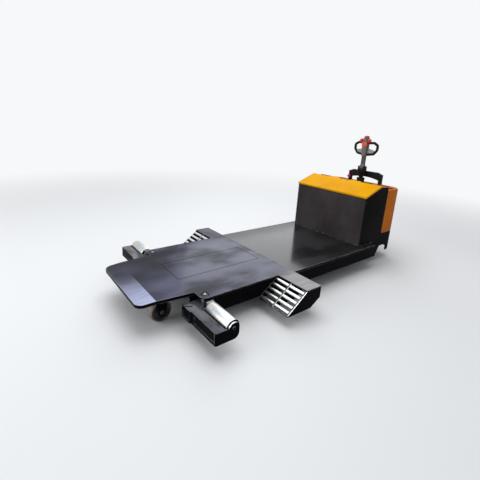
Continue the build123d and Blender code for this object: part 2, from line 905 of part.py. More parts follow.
with BuildPart() as battery_pack:
    block((battery_side_gap - half_box, half_box - battery_side_gap),
          (y_box + battery_end_gap, y_hinge - battery_end_gap),
          (deck_top + box_panel, deck_top + box_panel + battery_height))
finish(battery_pack, "battery_pack")

# Battery lid: a sloping tray with lips over the front and side edges
lid_angle = atan2(lid_rise, box_length)
lid_reach = hypot(lid_rise, box_length) + lid_overhang
lid_plane = Plane(origin=(0, y_hinge, z_back), x_dir=(1, 0, 0),
                  z_dir=(0, -sin(lid_angle), cos(lid_angle)))
half_lid = half_box + lid_gap
with BuildPart() as battery_lid:
    with BuildSketch(lid_plane.offset(-lid_lip)):
        with Locations((0, -(lid_reach + lid_sheet) / 2)):
            Rectangle(2 * (half_lid + lid_sheet), lid_reach + lid_sheet)
    extrude(amount=lid_lip + lid_sheet)
    with BuildSketch(lid_plane.offset(-lid_lip)):
        with Locations((0, -lid_reach / 2)):
            Rectangle(2 * half_lid, lid_reach)
    extrude(amount=lid_lip, mode=Mode.SUBTRACT)
    for knuckle, x_knuckle in enumerate(hinge_stations):
        if knuckle % 2 == 1:
            crossways(hinge_radius, x_knuckle, x_knuckle + knuckle_length, y_lid_axis, z_lid_axis)
            with BuildSketch(lid_plane):
                with Locations((x_knuckle + knuckle_length / 2, 0)):
                    Rectangle(knuckle_length, 2 * hinge_strap)
            extrude(amount=lid_sheet)
    crossways(hinge_pin_radius, -hinge_length / 2 + hinge_gap, hinge_length / 2 - hinge_gap,
              y_lid_axis, z_lid_axis)
finish(battery_lid, "battery_lid")

# Drive chassis: skirt with wheel arches and a round tail, on the plate that carries the turntable
y_steer = y_rear - steer_setback
y_caster = y_rear - caster_setback
y_drive_middle = (y_hinge + y_rear) / 2
drive_plan_length = y_rear - y_hinge
y_arch = y_cheek + arch_front_setback
arch_foot = skirt_bottom - arch_corner
with BuildPart() as drive_chassis:
    with BuildSketch(Plane.XY.offset(skirt_bottom)) as skirt_plan:
        with Locations((0, y_drive_middle)):
            Rectangle(box_width, drive_plan_length)
        fillet(skirt_plan.vertices().group_by(Axis.Y)[-1], rear_corner_radius)
        offset(skirt_plan.sketch_local, amount=-skirt_plate, mode=Mode.SUBTRACT)
    extrude(amount=skirt_top - skirt_bottom)
    block((-half_box, half_box), (y_hinge, y_cheek), (deck_top, skirt_top), mode=Mode.SUBTRACT)
    with BuildSketch(Plane.YZ) as arch:
        with BuildLine():
            Polyline(
                (y_arch - arch_run, arch_foot),
                (y_arch, arch_top),
                (y_arch + arch_length, arch_top),
                (y_arch + arch_length, arch_foot),
                close=True,
            )
        make_face()
        fillet(arch.vertices().group_by(Axis.Y)[-1], arch_corner)
    extrude(amount=half_box, both=True, mode=Mode.SUBTRACT)
    with BuildSketch(Plane.XY.offset(deck_under)) as base_plan:
        with Locations((0, y_drive_middle)):
            Rectangle(box_width, drive_plan_length)
        fillet(base_plan.vertices().group_by(Axis.Y)[-1], rear_corner_radius)
        with Locations((0, y_steer)):
            Circle(base_hole_radius, mode=Mode.SUBTRACT)
    extrude(amount=deck_plate)
    for side in (-1, 1):
        x_caster = side * caster_x
        block((x_caster - caster_plate_size / 2, x_caster + caster_plate_size / 2),
              (y_caster - caster_plate_size / 2, y_caster + caster_plate_size / 2),
              (deck_under - caster_plate, deck_under))
        upright(kingpin_radius + pin_clearance, x_caster, y_caster,
                deck_under - caster_plate, deck_top, mode=Mode.SUBTRACT)
finish(drive_chassis, "drive_chassis")

# Drive cover: one moulded hood, narrow between the cheeks and full width behind them
y_cover_tongue = y_hinge + cover_front_gap
y_cover_step = y_cheek + cover_step_gap
cover_neck_width = box_width - 2 * (box_panel + cover_side_gap)
cover_height = cover_top - skirt_top
with BuildSketch() as cover_plan:
    with Locations((0, (y_cover_step + y_rear) / 2)):
        Rectangle(box_width, y_rear - y_cover_step)
    fillet(cover_plan.vertices().group_by(Axis.Y)[-1], rear_corner_radius)
    with Locations((0, (y_cover_tongue + y_cover_step) / 2)):
        Rectangle(cover_neck_width, y_cover_step - y_cover_tongue)

cover_trays = [
    {"x": 300, "y": y_rear - 92, "width": 104, "length": 62},
    {"x": 405, "y": y_rear - 170, "width": 58, "length": 96},
]
with BuildPart() as cover_cavity:
    with BuildSketch(Plane.XY.offset(skirt_top)):
        offset(cover_plan.sketch, amount=-cover_wall)
    extrude(amount=cover_height - cover_wall)
    fillet(cover_cavity.edges().group_by(Axis.Z)[-1], cover_edge_radius - cover_wall)
    for tray in cover_trays:
        with BuildSketch(Plane.XY.offset(cover_top)):
            with Locations((tray["x"], tray["y"]), (-tray["x"], tray["y"])):
                RectangleRounded(tray["width"] + 2 * cover_wall, tray["length"] + 2 * cover_wall,
                                 tray_corner + cover_wall)
        extrude(amount=-tray_depth - cover_wall, mode=Mode.SUBTRACT)

with BuildPart() as drive_cover:
    with BuildSketch(Plane.XY.offset(skirt_top)):
        add(cover_plan.sketch)
    extrude(amount=cover_height)
    fillet(drive_cover.edges().group_by(Axis.Z)[-1], cover_edge_radius)
    add(cover_cavity.part, mode=Mode.SUBTRACT)
    for tray in cover_trays:
        with BuildSketch(Plane.XY.offset(cover_top)):
            with Locations((tray["x"], tray["y"]), (-tray["x"], tray["y"])):
                RectangleRounded(tray["width"], tray["length"], tray_corner)
        extrude(amount=-tray_depth, mode=Mode.SUBTRACT)
    upright(column_hole_radius, 0, y_steer, cover_top - cover_wall, cover_top, mode=Mode.SUBTRACT)
    with BuildSketch(Plane.YZ):
        with Locations((y_cover_step + cover_foot_radius / 2, skirt_top + cover_foot_radius / 2)):
            Rectangle(cover_foot_radius, cover_foot_radius)
        with Locations((y_cover_step + cover_foot_radius, skirt_top + cover_foot_radius)):
            Circle(cover_foot_radius, mode=Mode.SUBTRACT)
    extrude(amount=half_box + 1, both=True, mode=Mode.SUBTRACT)
finish(drive_cover, "drive_cover")

# Grab bar behind the tiller: two posts and a thick bar with an arched underside
y_bar = y_rear - bar_setback - bar_depth
post_outer = bar_post_x + bar_post_width / 2
post_inner = bar_post_x - bar_post_width / 2
with BuildPart() as grab_bar:
    with BuildSketch(Plane.XZ.offset(-y_bar - bar_depth)):
        with BuildLine():
            Polyline(
                (post_inner, cover_top + bar_under_end),
                (post_inner, cover_top),
                (post_outer, cover_top),
                (post_outer, cover_top + bar_post_top),
                (bar_post_x, cover_top + bar_post_top),
                (bar_centre_half, cover_top + bar_centre_top),
                (-bar_centre_half, cover_top + bar_centre_top),
                (-bar_post_x, cover_top + bar_post_top),
                (-post_outer, cover_top + bar_post_top),
                (-post_outer, cover_top),
                (-post_inner, cover_top),
                (-post_inner, cover_top + bar_under_end),
            )
            ThreePointArc(
                (-post_inner, cover_top + bar_under_end),
                (0, cover_top + bar_under_middle),
                (post_inner, cover_top + bar_under_end),
            )
        make_face()
    extrude(amount=bar_depth)
    chamfer(grab_bar.faces().filter_by(Axis.Y).edges().filter_by(
        lambda e: e.bounding_box().min.Z > cover_top + 1 and e.length > bar_post_width), bar_edge)
finish(grab_bar, "grab_bar")

# Emergency stop: a mushroom button on the front of the left post
y_stop_base = y_bar - stop_base_length
stop_rounds = [
    (stop_base_radius, y_stop_base, y_bar),
    (stop_cap_radius, y_stop_base - stop_cap_length, y_stop_base),
]
with BuildPart() as emergency_stop:
    for radius, y_low, y_high in stop_rounds:
        with Locations(Location((-bar_post_x, (y_low + y_high) / 2, cover_top + stop_height),
                                (90, 0, 0))):
            Cylinder(radius, y_high - y_low)
    chamfer(emergency_stop.faces().sort_by(Axis.Y)[0].edges(), stop_cap_edge)
finish(emergency_stop, "emergency_stop")

# Steering carrier: turntable, gear leg beside the wheel, drive motor, column and tilt clevis
z_turntable = deck_top + turntable_gap
z_motor = z_turntable + turntable_thickness
z_neck = 2 * drive_wheel_radius + wheel_top_gap
x_leg = drive_wheel_width / 2 + gear_leg_gap
with BuildPart() as steer_carrier:
    upright(turntable_radius, 0, y_steer, z_turntable, z_motor)
    upright(neck_radius, 0, y_steer, z_neck, z_turntable)
    upright(motor_radius, 0, y_steer, z_motor, z_motor + motor_height)
    upright(column_radius, 0, y_steer, z_motor + motor_height, column_top)
    with BuildSketch(Plane.YZ.offset(x_leg)):
        with Locations((y_steer, (drive_wheel_radius + z_neck) / 2)):
            Rectangle(gear_leg_length, z_neck - drive_wheel_radius)
        with Locations((y_steer, drive_wheel_radius)):
            Circle(gear_leg_length / 2)
    extrude(amount=gear_leg_width)
    with BuildSketch(Plane.XY.offset(column_top)):
        with Locations((0, y_steer)):
            RectangleRounded(2 * column_radius, 2 * column_radius, column_radius - 1)
    with BuildSketch(Plane.XY.offset(tilt_height - tiller_lug_radius)):
        with Locations((0, y_steer)):
            RectangleRounded(clevis_width, clevis_depth, clevis_corner)
    loft()
    with BuildSketch(Plane.XY.offset(tilt_height - tiller_lug_radius)):
        with Locations((0, y_steer)):
            RectangleRounded(clevis_width, clevis_depth, clevis_corner)
    extrude(amount=clevis_top - tilt_height + tiller_lug_radius)
    block((-clevis_slot / 2, clevis_slot / 2),
          (y_steer - clevis_depth / 2, y_steer + clevis_depth / 2),
          (tilt_height - tiller_lug_radius - lug_floor_gap, clevis_top), mode=Mode.SUBTRACT)
    crossways(tilt_pin_radius + pin_clearance, -clevis_width / 2, clevis_width / 2,
              y_steer, tilt_height, mode=Mode.SUBTRACT)
    crossways(drive_axle_radius + pin_clearance, x_leg, x_leg + gear_leg_width,
              y_steer, drive_wheel_radius, mode=Mode.SUBTRACT)
finish(steer_carrier, "steer_carrier")

# Drive wheel on its output shaft, which ends inside the gear leg
drive_wheel_axis = Axis((0, y_steer, drive_wheel_radius), (1, 0, 0))
with BuildPart() as drive_wheel:
    with BuildSketch(Plane((0, y_steer, drive_wheel_radius), x_dir=(1, 0, 0), z_dir=(0, 1, 0))):
        with BuildLine():
            Polyline(
                (-drive_wheel_width / 2 + drive_dish, 0),
                (x_leg + gear_leg_width, 0),
                (x_leg + gear_leg_width, drive_axle_radius),
                (x_leg - roller_axle_gap, drive_axle_radius),
                (x_leg - roller_axle_gap, drive_hub_radius),
                (drive_wheel_width / 2, drive_hub_radius),
                (drive_wheel_width / 2, drive_wheel_radius - drive_tread_round),
                (drive_wheel_width / 2 - drive_tread_round, drive_wheel_radius),
                (-drive_wheel_width / 2 + drive_tread_round, drive_wheel_radius),
                (-drive_wheel_width / 2, drive_wheel_radius - drive_tread_round),
                (-drive_wheel_width / 2, drive_rim_radius),
                (-drive_wheel_width / 2 + drive_dish, drive_rim_radius),
                close=True,
            )
        make_face()
    revolve(axis=drive_wheel_axis)
finish(drive_wheel, "drive_wheel")

# Tiller tube: tilt lug and pin, collar and rectangular tube
with BuildPart() as tiller_tube:
    crossways(tiller_lug_radius, tiller_lug_gap - clevis_slot / 2, clevis_slot / 2 - tiller_lug_gap,
              y_steer, tilt_height)
    crossways(tilt_pin_radius, -clevis_width / 2 - tilt_pin_end, clevis_width / 2 + tilt_pin_end,
              y_steer, tilt_height)
    with BuildSketch(Plane.XY.offset(tilt_height)):
        with Locations((0, y_steer)):
            RectangleRounded(tube_width, tube_depth, tube_corner)
    extrude(amount=head_bottom - tilt_height)
    with BuildSketch(Plane.XY.offset(clevis_top + collar_gap)):
        with Locations((0, y_steer)):
            RectangleRounded(tube_width + 2 * collar_wall, tube_depth + 2 * collar_wall, tube_corner)
    extrude(amount=collar_height)
finish(tiller_tube, "tiller_tube")

# Grips: a closed hand loop each side of the tiller head, in a plane behind the thumb paddles
y_grips = y_steer + grip_setback
with BuildPart() as tiller_grips:
    for side in (-1, 1):
        with BuildLine(Plane.XZ.offset(-y_grips)) as grip_path:
            FilletPolyline(
                (side * grip_root_x, grip_high),
                (side * grip_shoulder_x, grip_high + grip_shoulder_rise),
                (side * (grip_reach - grip_radius), grip_outer_high),
                (side * (grip_reach - grip_radius), grip_outer_low),
                (side * grip_foot_x, grip_low + grip_foot_rise),
                (side * grip_root_x, grip_low),
                radius=grip_bend,
            )
        with BuildSketch(Plane(grip_path.line @ 0, z_dir=grip_path.line % 0)):
            Circle(grip_radius)
        sweep(path=grip_path.line)
finish(tiller_grips, "tiller_grips")

# Tiller head: a tapered central housing with a web out to each grip
y_paddles = y_steer - paddle_lead
with BuildPart() as tiller_head:
    with BuildSketch(Plane.XZ.offset(-y_steer - head_depth / 2)):
        with BuildLine():
            Polyline(
                (-head_foot_width / 2, head_bottom),
                (head_foot_width / 2, head_bottom),
                (head_width / 2, head_shoulder),
                (head_crown_width / 2, head_top),
                (-head_crown_width / 2, head_top),
                (-head_width / 2, head_shoulder),
                close=True,
            )
        make_face()
    extrude(amount=head_depth)
    chamfer(tiller_head.edges().filter_by(lambda e: e.length > head_depth - 1), head_edge)
    with BuildSketch(Plane.XZ.offset(-y_grips - web_thickness / 2)):
        for side in (-1, 1):
            with BuildLine():
                Polyline(
                    (0, grip_low),
                    (side * grip_foot_x, grip_low + grip_foot_rise),
                    (side * (grip_reach - grip_radius), web_tip_height),
                    (side * (grip_reach - web_notch_x), web_tip_height + web_notch_rise),
                    (0, web_top),
                    close=True,
                )
            make_face()
    extrude(amount=web_thickness)
    add(tiller_grips.part, mode=Mode.SUBTRACT)
    crossways(paddle_shaft_radius + pin_clearance, -head_width / 2, head_width / 2,
              y_paddles, paddle_height, mode=Mode.SUBTRACT)
finish(tiller_head, "tiller_head")

# Belly switch on top of the head, and the thumb paddles on a common shaft
with BuildPart() as belly_switch:
    with BuildSketch(Plane.XY.offset(head_top)):
        with Locations((0, y_steer)):
            RectangleRounded(belly_width, belly_depth, belly_corner)
    extrude(amount=belly_height)
    chamfer(belly_switch.faces().sort_by(Axis.Z)[-1].edges(), belly_edge)
finish(belly_switch, "belly_switch")

with BuildPart() as thumb_paddles:
    for side in (-1, 1):
        x_paddle = side * (head_width / 2 + paddle_gap + paddle_width / 2)
        crossways(paddle_radius, x_paddle - paddle_width / 2, x_paddle + paddle_width / 2,
                  y_paddles, paddle_height)
        chamfer(thumb_paddles.edges().filter_by(GeomType.CIRCLE).filter_by(
            lambda e: e.center().X * side > 0), paddle_edge)
    crossways(paddle_shaft_radius, -head_width / 2 - paddle_gap, head_width / 2 + paddle_gap,
              y_paddles, paddle_height)
finish(thumb_paddles, "thumb_paddles")

# Casters: swivelling fork with its kingpin in the chassis plate, and the wheel it trails
y_caster_wheel = y_caster + caster_trail
caster_fork_inner = caster_wheel_width / 2 + caster_fork_gap
caster_fork_outer = caster_fork_inner + caster_fork_plate
z_caster_crown = caster_crown_height
with BuildPart() as caster_fork_right:
    upright(caster_neck_radius, caster_x, y_caster,
            z_caster_crown, deck_under - caster_plate - caster_gap)
    upright(kingpin_radius, caster_x, y_caster, z_caster_crown, deck_under)
    block((caster_x - caster_fork_outer, caster_x + caster_fork_outer),
          (y_caster - caster_neck_radius, y_caster + caster_trail),
          (z_caster_crown - caster_fork_plate, z_caster_crown))
    for x_plate in (caster_x - caster_fork_outer, caster_x + caster_fork_inner):
        with BuildSketch(Plane.YZ.offset(x_plate)):
            with BuildLine():
                Polyline(
                    (y_caster - caster_neck_radius, z_caster_crown),
                    (y_caster_wheel - 2 * caster_axle_radius, caster_wheel_radius),
                    (y_caster_wheel + 2 * caster_axle_radius, caster_wheel_radius),
                    (y_caster_wheel, z_caster_crown),
                    close=True,
                )
            make_face()
            with Locations((y_caster_wheel, caster_wheel_radius)):
                Circle(2 * caster_axle_radius)
        extrude(amount=caster_fork_plate)
    crossways(caster_axle_radius + pin_clearance, caster_x - caster_fork_outer,
              caster_x + caster_fork_outer, y_caster_wheel, caster_wheel_radius, mode=Mode.SUBTRACT)
finish(caster_fork_right, "caster_fork_right")

with BuildPart() as caster_fork_left:
    mirror(caster_fork_right.part, about=Plane.YZ)
finish(caster_fork_left, "caster_fork_left")

with BuildPart() as caster_wheel_right:
    crossways(caster_wheel_radius, caster_x - caster_wheel_width / 2,
              caster_x + caster_wheel_width / 2, y_caster_wheel, caster_wheel_radius)
    chamfer(caster_wheel_right.edges().filter_by(GeomType.CIRCLE), caster_tread_edge)
    crossways(2 * caster_axle_radius, caster_x - caster_fork_inner + roller_axle_gap,
              caster_x + caster_fork_inner - roller_axle_gap, y_caster_wheel, caster_wheel_radius)
    crossways(caster_axle_radius, caster_x - caster_fork_outer, caster_x + caster_fork_outer,
              y_caster_wheel, caster_wheel_radius)
finish(caster_wheel_right, "caster_wheel_right")

with BuildPart() as caster_wheel_left:
    mirror(caster_wheel_right.part, about=Plane.YZ)
finish(caster_wheel_left, "caster_wheel_left")
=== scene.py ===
import math

import bmesh
import bpy
from mathutils import Matrix, Vector


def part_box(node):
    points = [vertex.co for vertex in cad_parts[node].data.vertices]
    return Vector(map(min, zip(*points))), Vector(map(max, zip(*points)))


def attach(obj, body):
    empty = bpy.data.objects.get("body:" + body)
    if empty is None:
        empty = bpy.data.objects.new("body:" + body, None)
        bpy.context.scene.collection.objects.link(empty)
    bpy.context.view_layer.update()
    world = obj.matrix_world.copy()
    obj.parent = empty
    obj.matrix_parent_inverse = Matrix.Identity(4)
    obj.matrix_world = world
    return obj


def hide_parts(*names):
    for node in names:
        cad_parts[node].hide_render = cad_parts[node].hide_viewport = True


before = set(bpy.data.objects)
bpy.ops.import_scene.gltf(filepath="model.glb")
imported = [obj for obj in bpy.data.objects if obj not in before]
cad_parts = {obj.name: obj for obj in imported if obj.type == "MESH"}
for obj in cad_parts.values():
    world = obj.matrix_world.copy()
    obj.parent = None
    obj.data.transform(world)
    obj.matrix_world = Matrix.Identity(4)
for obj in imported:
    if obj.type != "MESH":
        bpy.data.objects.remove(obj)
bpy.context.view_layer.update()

# Camera: held by hand at about shoulder height off the nose's right-hand corner, looking back
# along the machine and a little down. Its small shift is the picture's own framing.
view_place = Vector((2.238, -2.251, 1.443))
view_azimuth = math.radians(51.28)
view_pitch = math.radians(-15.39)
view_roll = math.radians(3.47)
view_lens = 24.65
view_shift_up = -0.0552
camera_data = bpy.data.cameras.new("view")
camera_data.lens = view_lens
camera_data.sensor_width = 36.0
camera_data.shift_y = view_shift_up
camera_data.clip_end = 200.0
camera = bpy.data.objects.new("view", camera_data)
bpy.context.scene.collection.objects.link(camera)
forward = Vector((-math.sin(view_azimuth) * math.cos(view_pitch),
                  math.cos(view_azimuth) * math.cos(view_pitch),
                  math.sin(view_pitch)))
aim = forward.to_track_quat("-Z", "Y").to_matrix().to_4x4()
camera.matrix_world = Matrix.Translation(view_place) @ aim @ Matrix.Rotation(view_roll, 4, "Z")
bpy.context.scene.camera = camera


# Floor and light: a pale workshop floor that runs out into a white surround, under broad soft
# lamps. The surround is white wherever it is seen, also in a reflection, and dimmer as a lamp.
def feed(node, given):
    """A node's inputs set to numbers and colours, or linked from other nodes' outputs."""
    for entry, sources in given.items():
        for source in sources if isinstance(sources, list) else [sources]:
            if isinstance(source, bpy.types.NodeSocket):
                node.id_data.links.new(source, node.inputs[entry])
            else:
                node.inputs[entry].default_value = source


def add_node(tree, kind, given=None, **settings):
    """A node with its settings and with what its inputs are given."""
    node = tree.nodes.new(kind)
    for key, value in settings.items():
        setattr(node, key, value)
    feed(node, given or {})
    return node


def open_material(name, given):
    """A new material, its tree, and its main shader with the inputs that don't vary."""
    material = bpy.data.materials.new(name)
    material.use_nodes = True
    shader = material.node_tree.nodes["Principled BSDF"]
    feed(shader, given)
    return material, material.node_tree, shader


def place_object(name, mesh, material=None):
    """A mesh made into an object at the origin, with its material."""
    piece = bpy.data.objects.new(name, mesh)
    bpy.context.scene.collection.objects.link(piece)
    if material is not None:
        mesh.materials.clear()
        mesh.materials.append(material)
    return piece


surround_white = (0.93, 0.94, 0.95, 1.0)
surround_lamp = 0.42
floor_half = 60.0
floor_drop = -0.0012
fade_start, fade_end = 2.6, 7.5
floor_paint, floor_tree, floor_shader = open_material(
    "floor_paint", {"Base Color": (0.70, 0.71, 0.72, 1.0), "Roughness": 0.6})
floor_place = add_node(floor_tree, "ShaderNodeTexCoord")
floor_reach = add_node(floor_tree, "ShaderNodeVectorMath", {0: floor_place.outputs["Object"]},
                       operation="LENGTH")
floor_fade = add_node(floor_tree, "ShaderNodeMapRange", {
    "Value": floor_reach.outputs["Value"], "From Min": fade_start, "From Max": fade_end},
    interpolation_type="SMOOTHSTEP")
floor_glow = add_node(floor_tree, "ShaderNodeEmission", {"Color": surround_white})
floor_mix = add_node(floor_tree, "ShaderNodeMixShader", {
    0: floor_fade.outputs["Result"], 1: floor_shader.outputs[0], 2: floor_glow.outputs[0]})
feed(floor_tree.nodes["Material Output"], {"Surface": floor_mix.outputs[0]})
floor_mesh = bpy.data.meshes.new("floor")
floor_mesh.from_pydata(
    [(-floor_half, -floor_half, floor_drop), (floor_half, -floor_half, floor_drop),
     (floor_half, floor_half, floor_drop), (-floor_half, floor_half, floor_drop)],
    [], [(0, 1, 2, 3)])
place_object("floor", floor_mesh, floor_paint)

world = bpy.data.worlds.new("surround")
world.use_nodes = True
bpy.context.scene.world = world
world_tree = world.node_tree
world_tree.nodes.clear()
sight = add_node(world_tree, "ShaderNodeLightPath").outputs
direct = add_node(world_tree, "ShaderNodeMath", {
    0: sight["Is Camera Ray"], 1: sight["Is Transmission Ray"]}, operation="MAXIMUM")
any_sight = add_node(world_tree, "ShaderNodeMath", {
    0: direct.outputs[0], 1: sight["Is Glossy Ray"]}, operation="MAXIMUM")
lit = add_node(world_tree, "ShaderNodeBackground", {
    "Color": (0.93, 0.96, 1.0, 1.0), "Strength": surround_lamp})
seen = add_node(world_tree, "ShaderNodeBackground", {"Color": surround_white, "Strength": 1.0})
shared = add_node(world_tree, "ShaderNodeMixShader", {
    0: any_sight.outputs[0], 1: lit.outputs[0], 2: seen.outputs[0]})
add_node(world_tree, "ShaderNodeOutputWorld", {"Surface": shared.outputs[0]})


def soft_lamp(name, place, aim_at, width, power, colour=(1.0, 1.0, 1.0)):
    """A broad square lamp that faces a point; its width in metres, its power in watts."""
    lamp_data = bpy.data.lights.new(name, "AREA")
    lamp_data.shape = "SQUARE"
    lamp_data.size = width
    lamp_data.energy = power
    lamp_data.color = colour
    lamp = bpy.data.objects.new(name, lamp_data)
    bpy.context.scene.collection.objects.link(lamp)
    turn = (Vector(aim_at) - Vector(place)).to_track_quat("-Z", "Y").to_matrix().to_4x4()
    lamp.matrix_world = Matrix.Translation(Vector(place)) @ turn


soft_lamp("lamp_back", place=(-4.6, 4.2, 4.2), aim_at=(-0.2, 0.0, 0.3), width=5.0, power=130.0,
          colour=(0.95, 0.97, 1.0))
soft_lamp("lamp_top", place=(-0.6, -0.4, 5.5), aim_at=(0.0, 0.0, 0.0), width=5.0, power=230.0)
soft_lamp("lamp_right", place=(5.0, 0.5, 3.6), aim_at=(0.0, 0.3, 0.4), width=4.0, power=8.0)
soft_lamp("lamp_nose", place=(-1.2, -6.0, 2.4), aim_at=(0.0, 0.4, 0.4), width=4.0, power=150.0)


# Deck: three 12 mm steel plates, the nose bent down a little at its crease, brushed with black
# semi-gloss enamel that has been wiped and scuffed along the machine. The plates are screwed and
# welded to the frame below, and their cut edges are ground round.
def cloud(tree, size, stretch=(1.0, 1.0, 1.0), detail=4.0, rough=0.55, warp=0.0):
    """A soft noise over the piece, its patches about size metres, drawn out by stretch."""
    place = add_node(tree, "ShaderNodeTexCoord")
    scaled = add_node(tree, "ShaderNodeMapping", {
        "Vector": place.outputs["Object"], "Scale": tuple(1.0 / (size * s) for s in stretch)})
    noise = add_node(tree, "ShaderNodeTexNoise", {
        "Vector": scaled.outputs["Vector"], "Scale": 1.0, "Detail": detail, "Roughness": rough,
        "Distortion": warp})
    return noise.outputs["Fac"]


def levels(value, low, high, to_low=0.0, to_high=1.0):
    """A value spread from one range to another, with its ends held."""
    spread = add_node(value.id_data, "ShaderNodeMapRange", {
        "Value": value, "From Min": low, "From Max": high, "To Min": to_low, "To Max": to_high},
        interpolation_type="SMOOTHSTEP")
    return spread.outputs["Result"]


def combine(first, second, how="MULTIPLY"):
    """Two values, or a value and a number, joined by plain arithmetic."""
    tree = (second if isinstance(first, float) else first).id_data
    return add_node(tree, "ShaderNodeMath", {0: first, 1: second}, operation=how).outputs[0]


def rest_of(share):
    """What a share leaves over."""
    return combine(1.0, share, "SUBTRACT")


def tinted(share, under, over):
    """One colour laid over another by a share."""
    under, over = [(*c, 1.0) if isinstance(c, tuple) else c for c in (under, over)]
    return add_node(share.id_data, "ShaderNodeMix", {0: share, 6: under, 7: over},
                    data_type="RGBA").outputs[2]


def edge_share(tree, reach, keep=0.5):
    """How near a surface point is to a worn outer edge, broken up by a fine noise."""
    turn_start, turn_full = 0.01, 0.14
    chip_size, chip_soft = 0.012, 0.15
    rounded = add_node(tree, "ShaderNodeBevel", {"Radius": reach}, samples=4)
    flat = add_node(tree, "ShaderNodeNewGeometry")
    agree = add_node(tree, "ShaderNodeVectorMath", {
        0: rounded.outputs["Normal"], 1: flat.outputs["Normal"]}, operation="DOT_PRODUCT")
    near = levels(rest_of(agree.outputs["Value"]), turn_start, turn_full)
    return combine(near, levels(cloud(tree, chip_size), 1.0 - keep - chip_soft,
                                1.0 - keep + chip_soft))


def bumped(shader, height, depth, strength=1.0):
    """A height pattern turned into the shader's surface relief, its depth in metres."""
    relief = add_node(shader.id_data, "ShaderNodeBump", {
        "Height": height, "Strength": strength, "Distance": depth})
    feed(shader, {"Normal": relief.outputs["Normal"]})


def axis_of(vector, axis):
    """One axis of a place or a direction."""
    return add_node(vector.id_data, "ShaderNodeSeparateXYZ", {0: vector}).outputs[axis]


def along(tree, axis, low, high, to_low=0.0, to_high=1.0):
    """A share that runs from one place to another along an axis of the piece."""
    place = add_node(tree, "ShaderNodeTexCoord").outputs["Object"]
    return levels(axis_of(place, axis), low, high, to_low, to_high)


def upward(tree, low=0.25, high=0.85, to_low=0.0, to_high=1.0):
    """How far a surface faces up."""
    facing = add_node(tree, "ShaderNodeNewGeometry").outputs["Normal"]
    return levels(axis_of(facing, "Z"), low, high, to_low, to_high)


def vector_step(first, second, how):
    """A place moved or scaled by a fixed vector."""
    return add_node(first.id_data, "ShaderNodeVectorMath", {0: first, 1: second},
                    operation=how).outputs[0]


def spot(tree, centre, half, core=0.5):
    """A patch over one place on the piece, seen from above, full out to its core and then soft."""
    place = add_node(tree, "ShaderNodeTexCoord").outputs["Object"]
    shifted = vector_step(place, (*centre, 0.0), "SUBTRACT")
    scaled = vector_step(shifted, (1.0 / half[0], 1.0 / half[1], 0.0), "MULTIPLY")
    reach = add_node(tree, "ShaderNodeVectorMath", {0: scaled}, operation="LENGTH")
    return levels(reach.outputs["Value"], core, 1.0, 1.0, 0.0)


def seam_share(tree, centre, half, reach):
    """How near a point is to the edges of a rectangle let into a plate."""
    place = add_node(tree, "ShaderNodeTexCoord").outputs["Object"]
    shifted = vector_step(place, (*centre, 0.0), "SUBTRACT")
    folded = add_node(tree, "ShaderNodeVectorMath", {0: shifted}, operation="ABSOLUTE")
    outside = vector_step(folded.outputs[0], (*half, 0.0), "SUBTRACT")
    off = combine(axis_of(outside, "X"), axis_of(outside, "Y"), "MAXIMUM")
    return levels(combine(off, 0.0, "ABSOLUTE"), reach * 0.4, reach, 1.0, 0.0)


deck_top = 0.25
crease_y = -1.429
rear_seam_y = -0.254
cover_middle, cover_half = (0.0, -0.745), (0.159, 0.409)
pivot_x, pivot_y = 0.455, -1.098
deck_black = (0.014, 0.0142, 0.021)
deck_film = (0.062, 0.066, 0.116)
nose_painted_reflection = (0.39, 0.42, 0.60)
wing_film = (0.27, 0.254, 0.256)
deck_worn = (0.52, 0.52, 0.57)
deck_shade = (0.002, 0.002, 0.0025)
seam_black = (0.0015, 0.0015, 0.002)
rear_black, rear_film = (0.0085, 0.0083, 0.0088), (0.024, 0.0235, 0.025)
deck_paint, deck, deck_shader = open_material(
    "deck_enamel", {"Specular IOR Level": 0.02, "Coat Roughness": 0.13})

# Where the enamel is wiped: soft clouds with fine streaks across, held low on the nose's left,
# where the nose's painted reflection fades.
deck_streak = cloud(deck, 0.05, (0.6, 4.0, 1.0), detail=5.0, rough=0.6, warp=0.2)
deck_cloud = cloud(deck, 0.30, (0.85, 1.15, 1.0), detail=2.0, rough=0.40, warp=0.15)
cloud_part, streak_part = 0.82, 0.18
deck_wiped = levels(combine(combine(deck_cloud, cloud_part), combine(deck_streak, streak_part),
                            "ADD"), 0.31, 0.69)
nose_dark = spot(deck, (-0.20, -1.30), (0.42, 0.34))
deck_wiped = combine(deck_wiped, levels(nose_dark, 0.0, 1.0, 1.0, 0.35))

# The front plate's tone, then a pale bluish painted reflection on the bent nose that grows to its
# right, then the wings over the ramps and the rear plate.
seam_width = 0.002
rear_share = along(deck, "Y", rear_seam_y - seam_width / 2, rear_seam_y + seam_width / 2)
nose_reflection_share = combine(along(deck, "Y", crease_y - seam_width, crease_y + seam_width, 1.0, 0.0),
                     along(deck, "X", -0.17, 0.38))
nose_reflection_share = combine(nose_reflection_share, levels(deck_streak, 0.3, 0.7, 0.82, 1.0))
right_share = combine(along(deck, "X", 0.50, 0.72, 0.0, 0.9), deck_wiped)
wing_share = combine(along(deck, "X", 0.44, 0.60, 0.0, 0.95), along(deck, "Y", -0.75, -0.55))
wing_share = combine(wing_share, levels(deck_streak, 0.3, 0.7, 0.7, 1.0))
deck_tone = tinted(combine(deck_wiped, right_share, "MAXIMUM"), deck_black, deck_film)
deck_tone = tinted(nose_reflection_share, deck_tone, nose_painted_reflection)
deck_tone = tinted(wing_share, deck_tone, wing_film)
deck_tone = tinted(rear_share, deck_tone, tinted(deck_wiped, rear_black, rear_film))
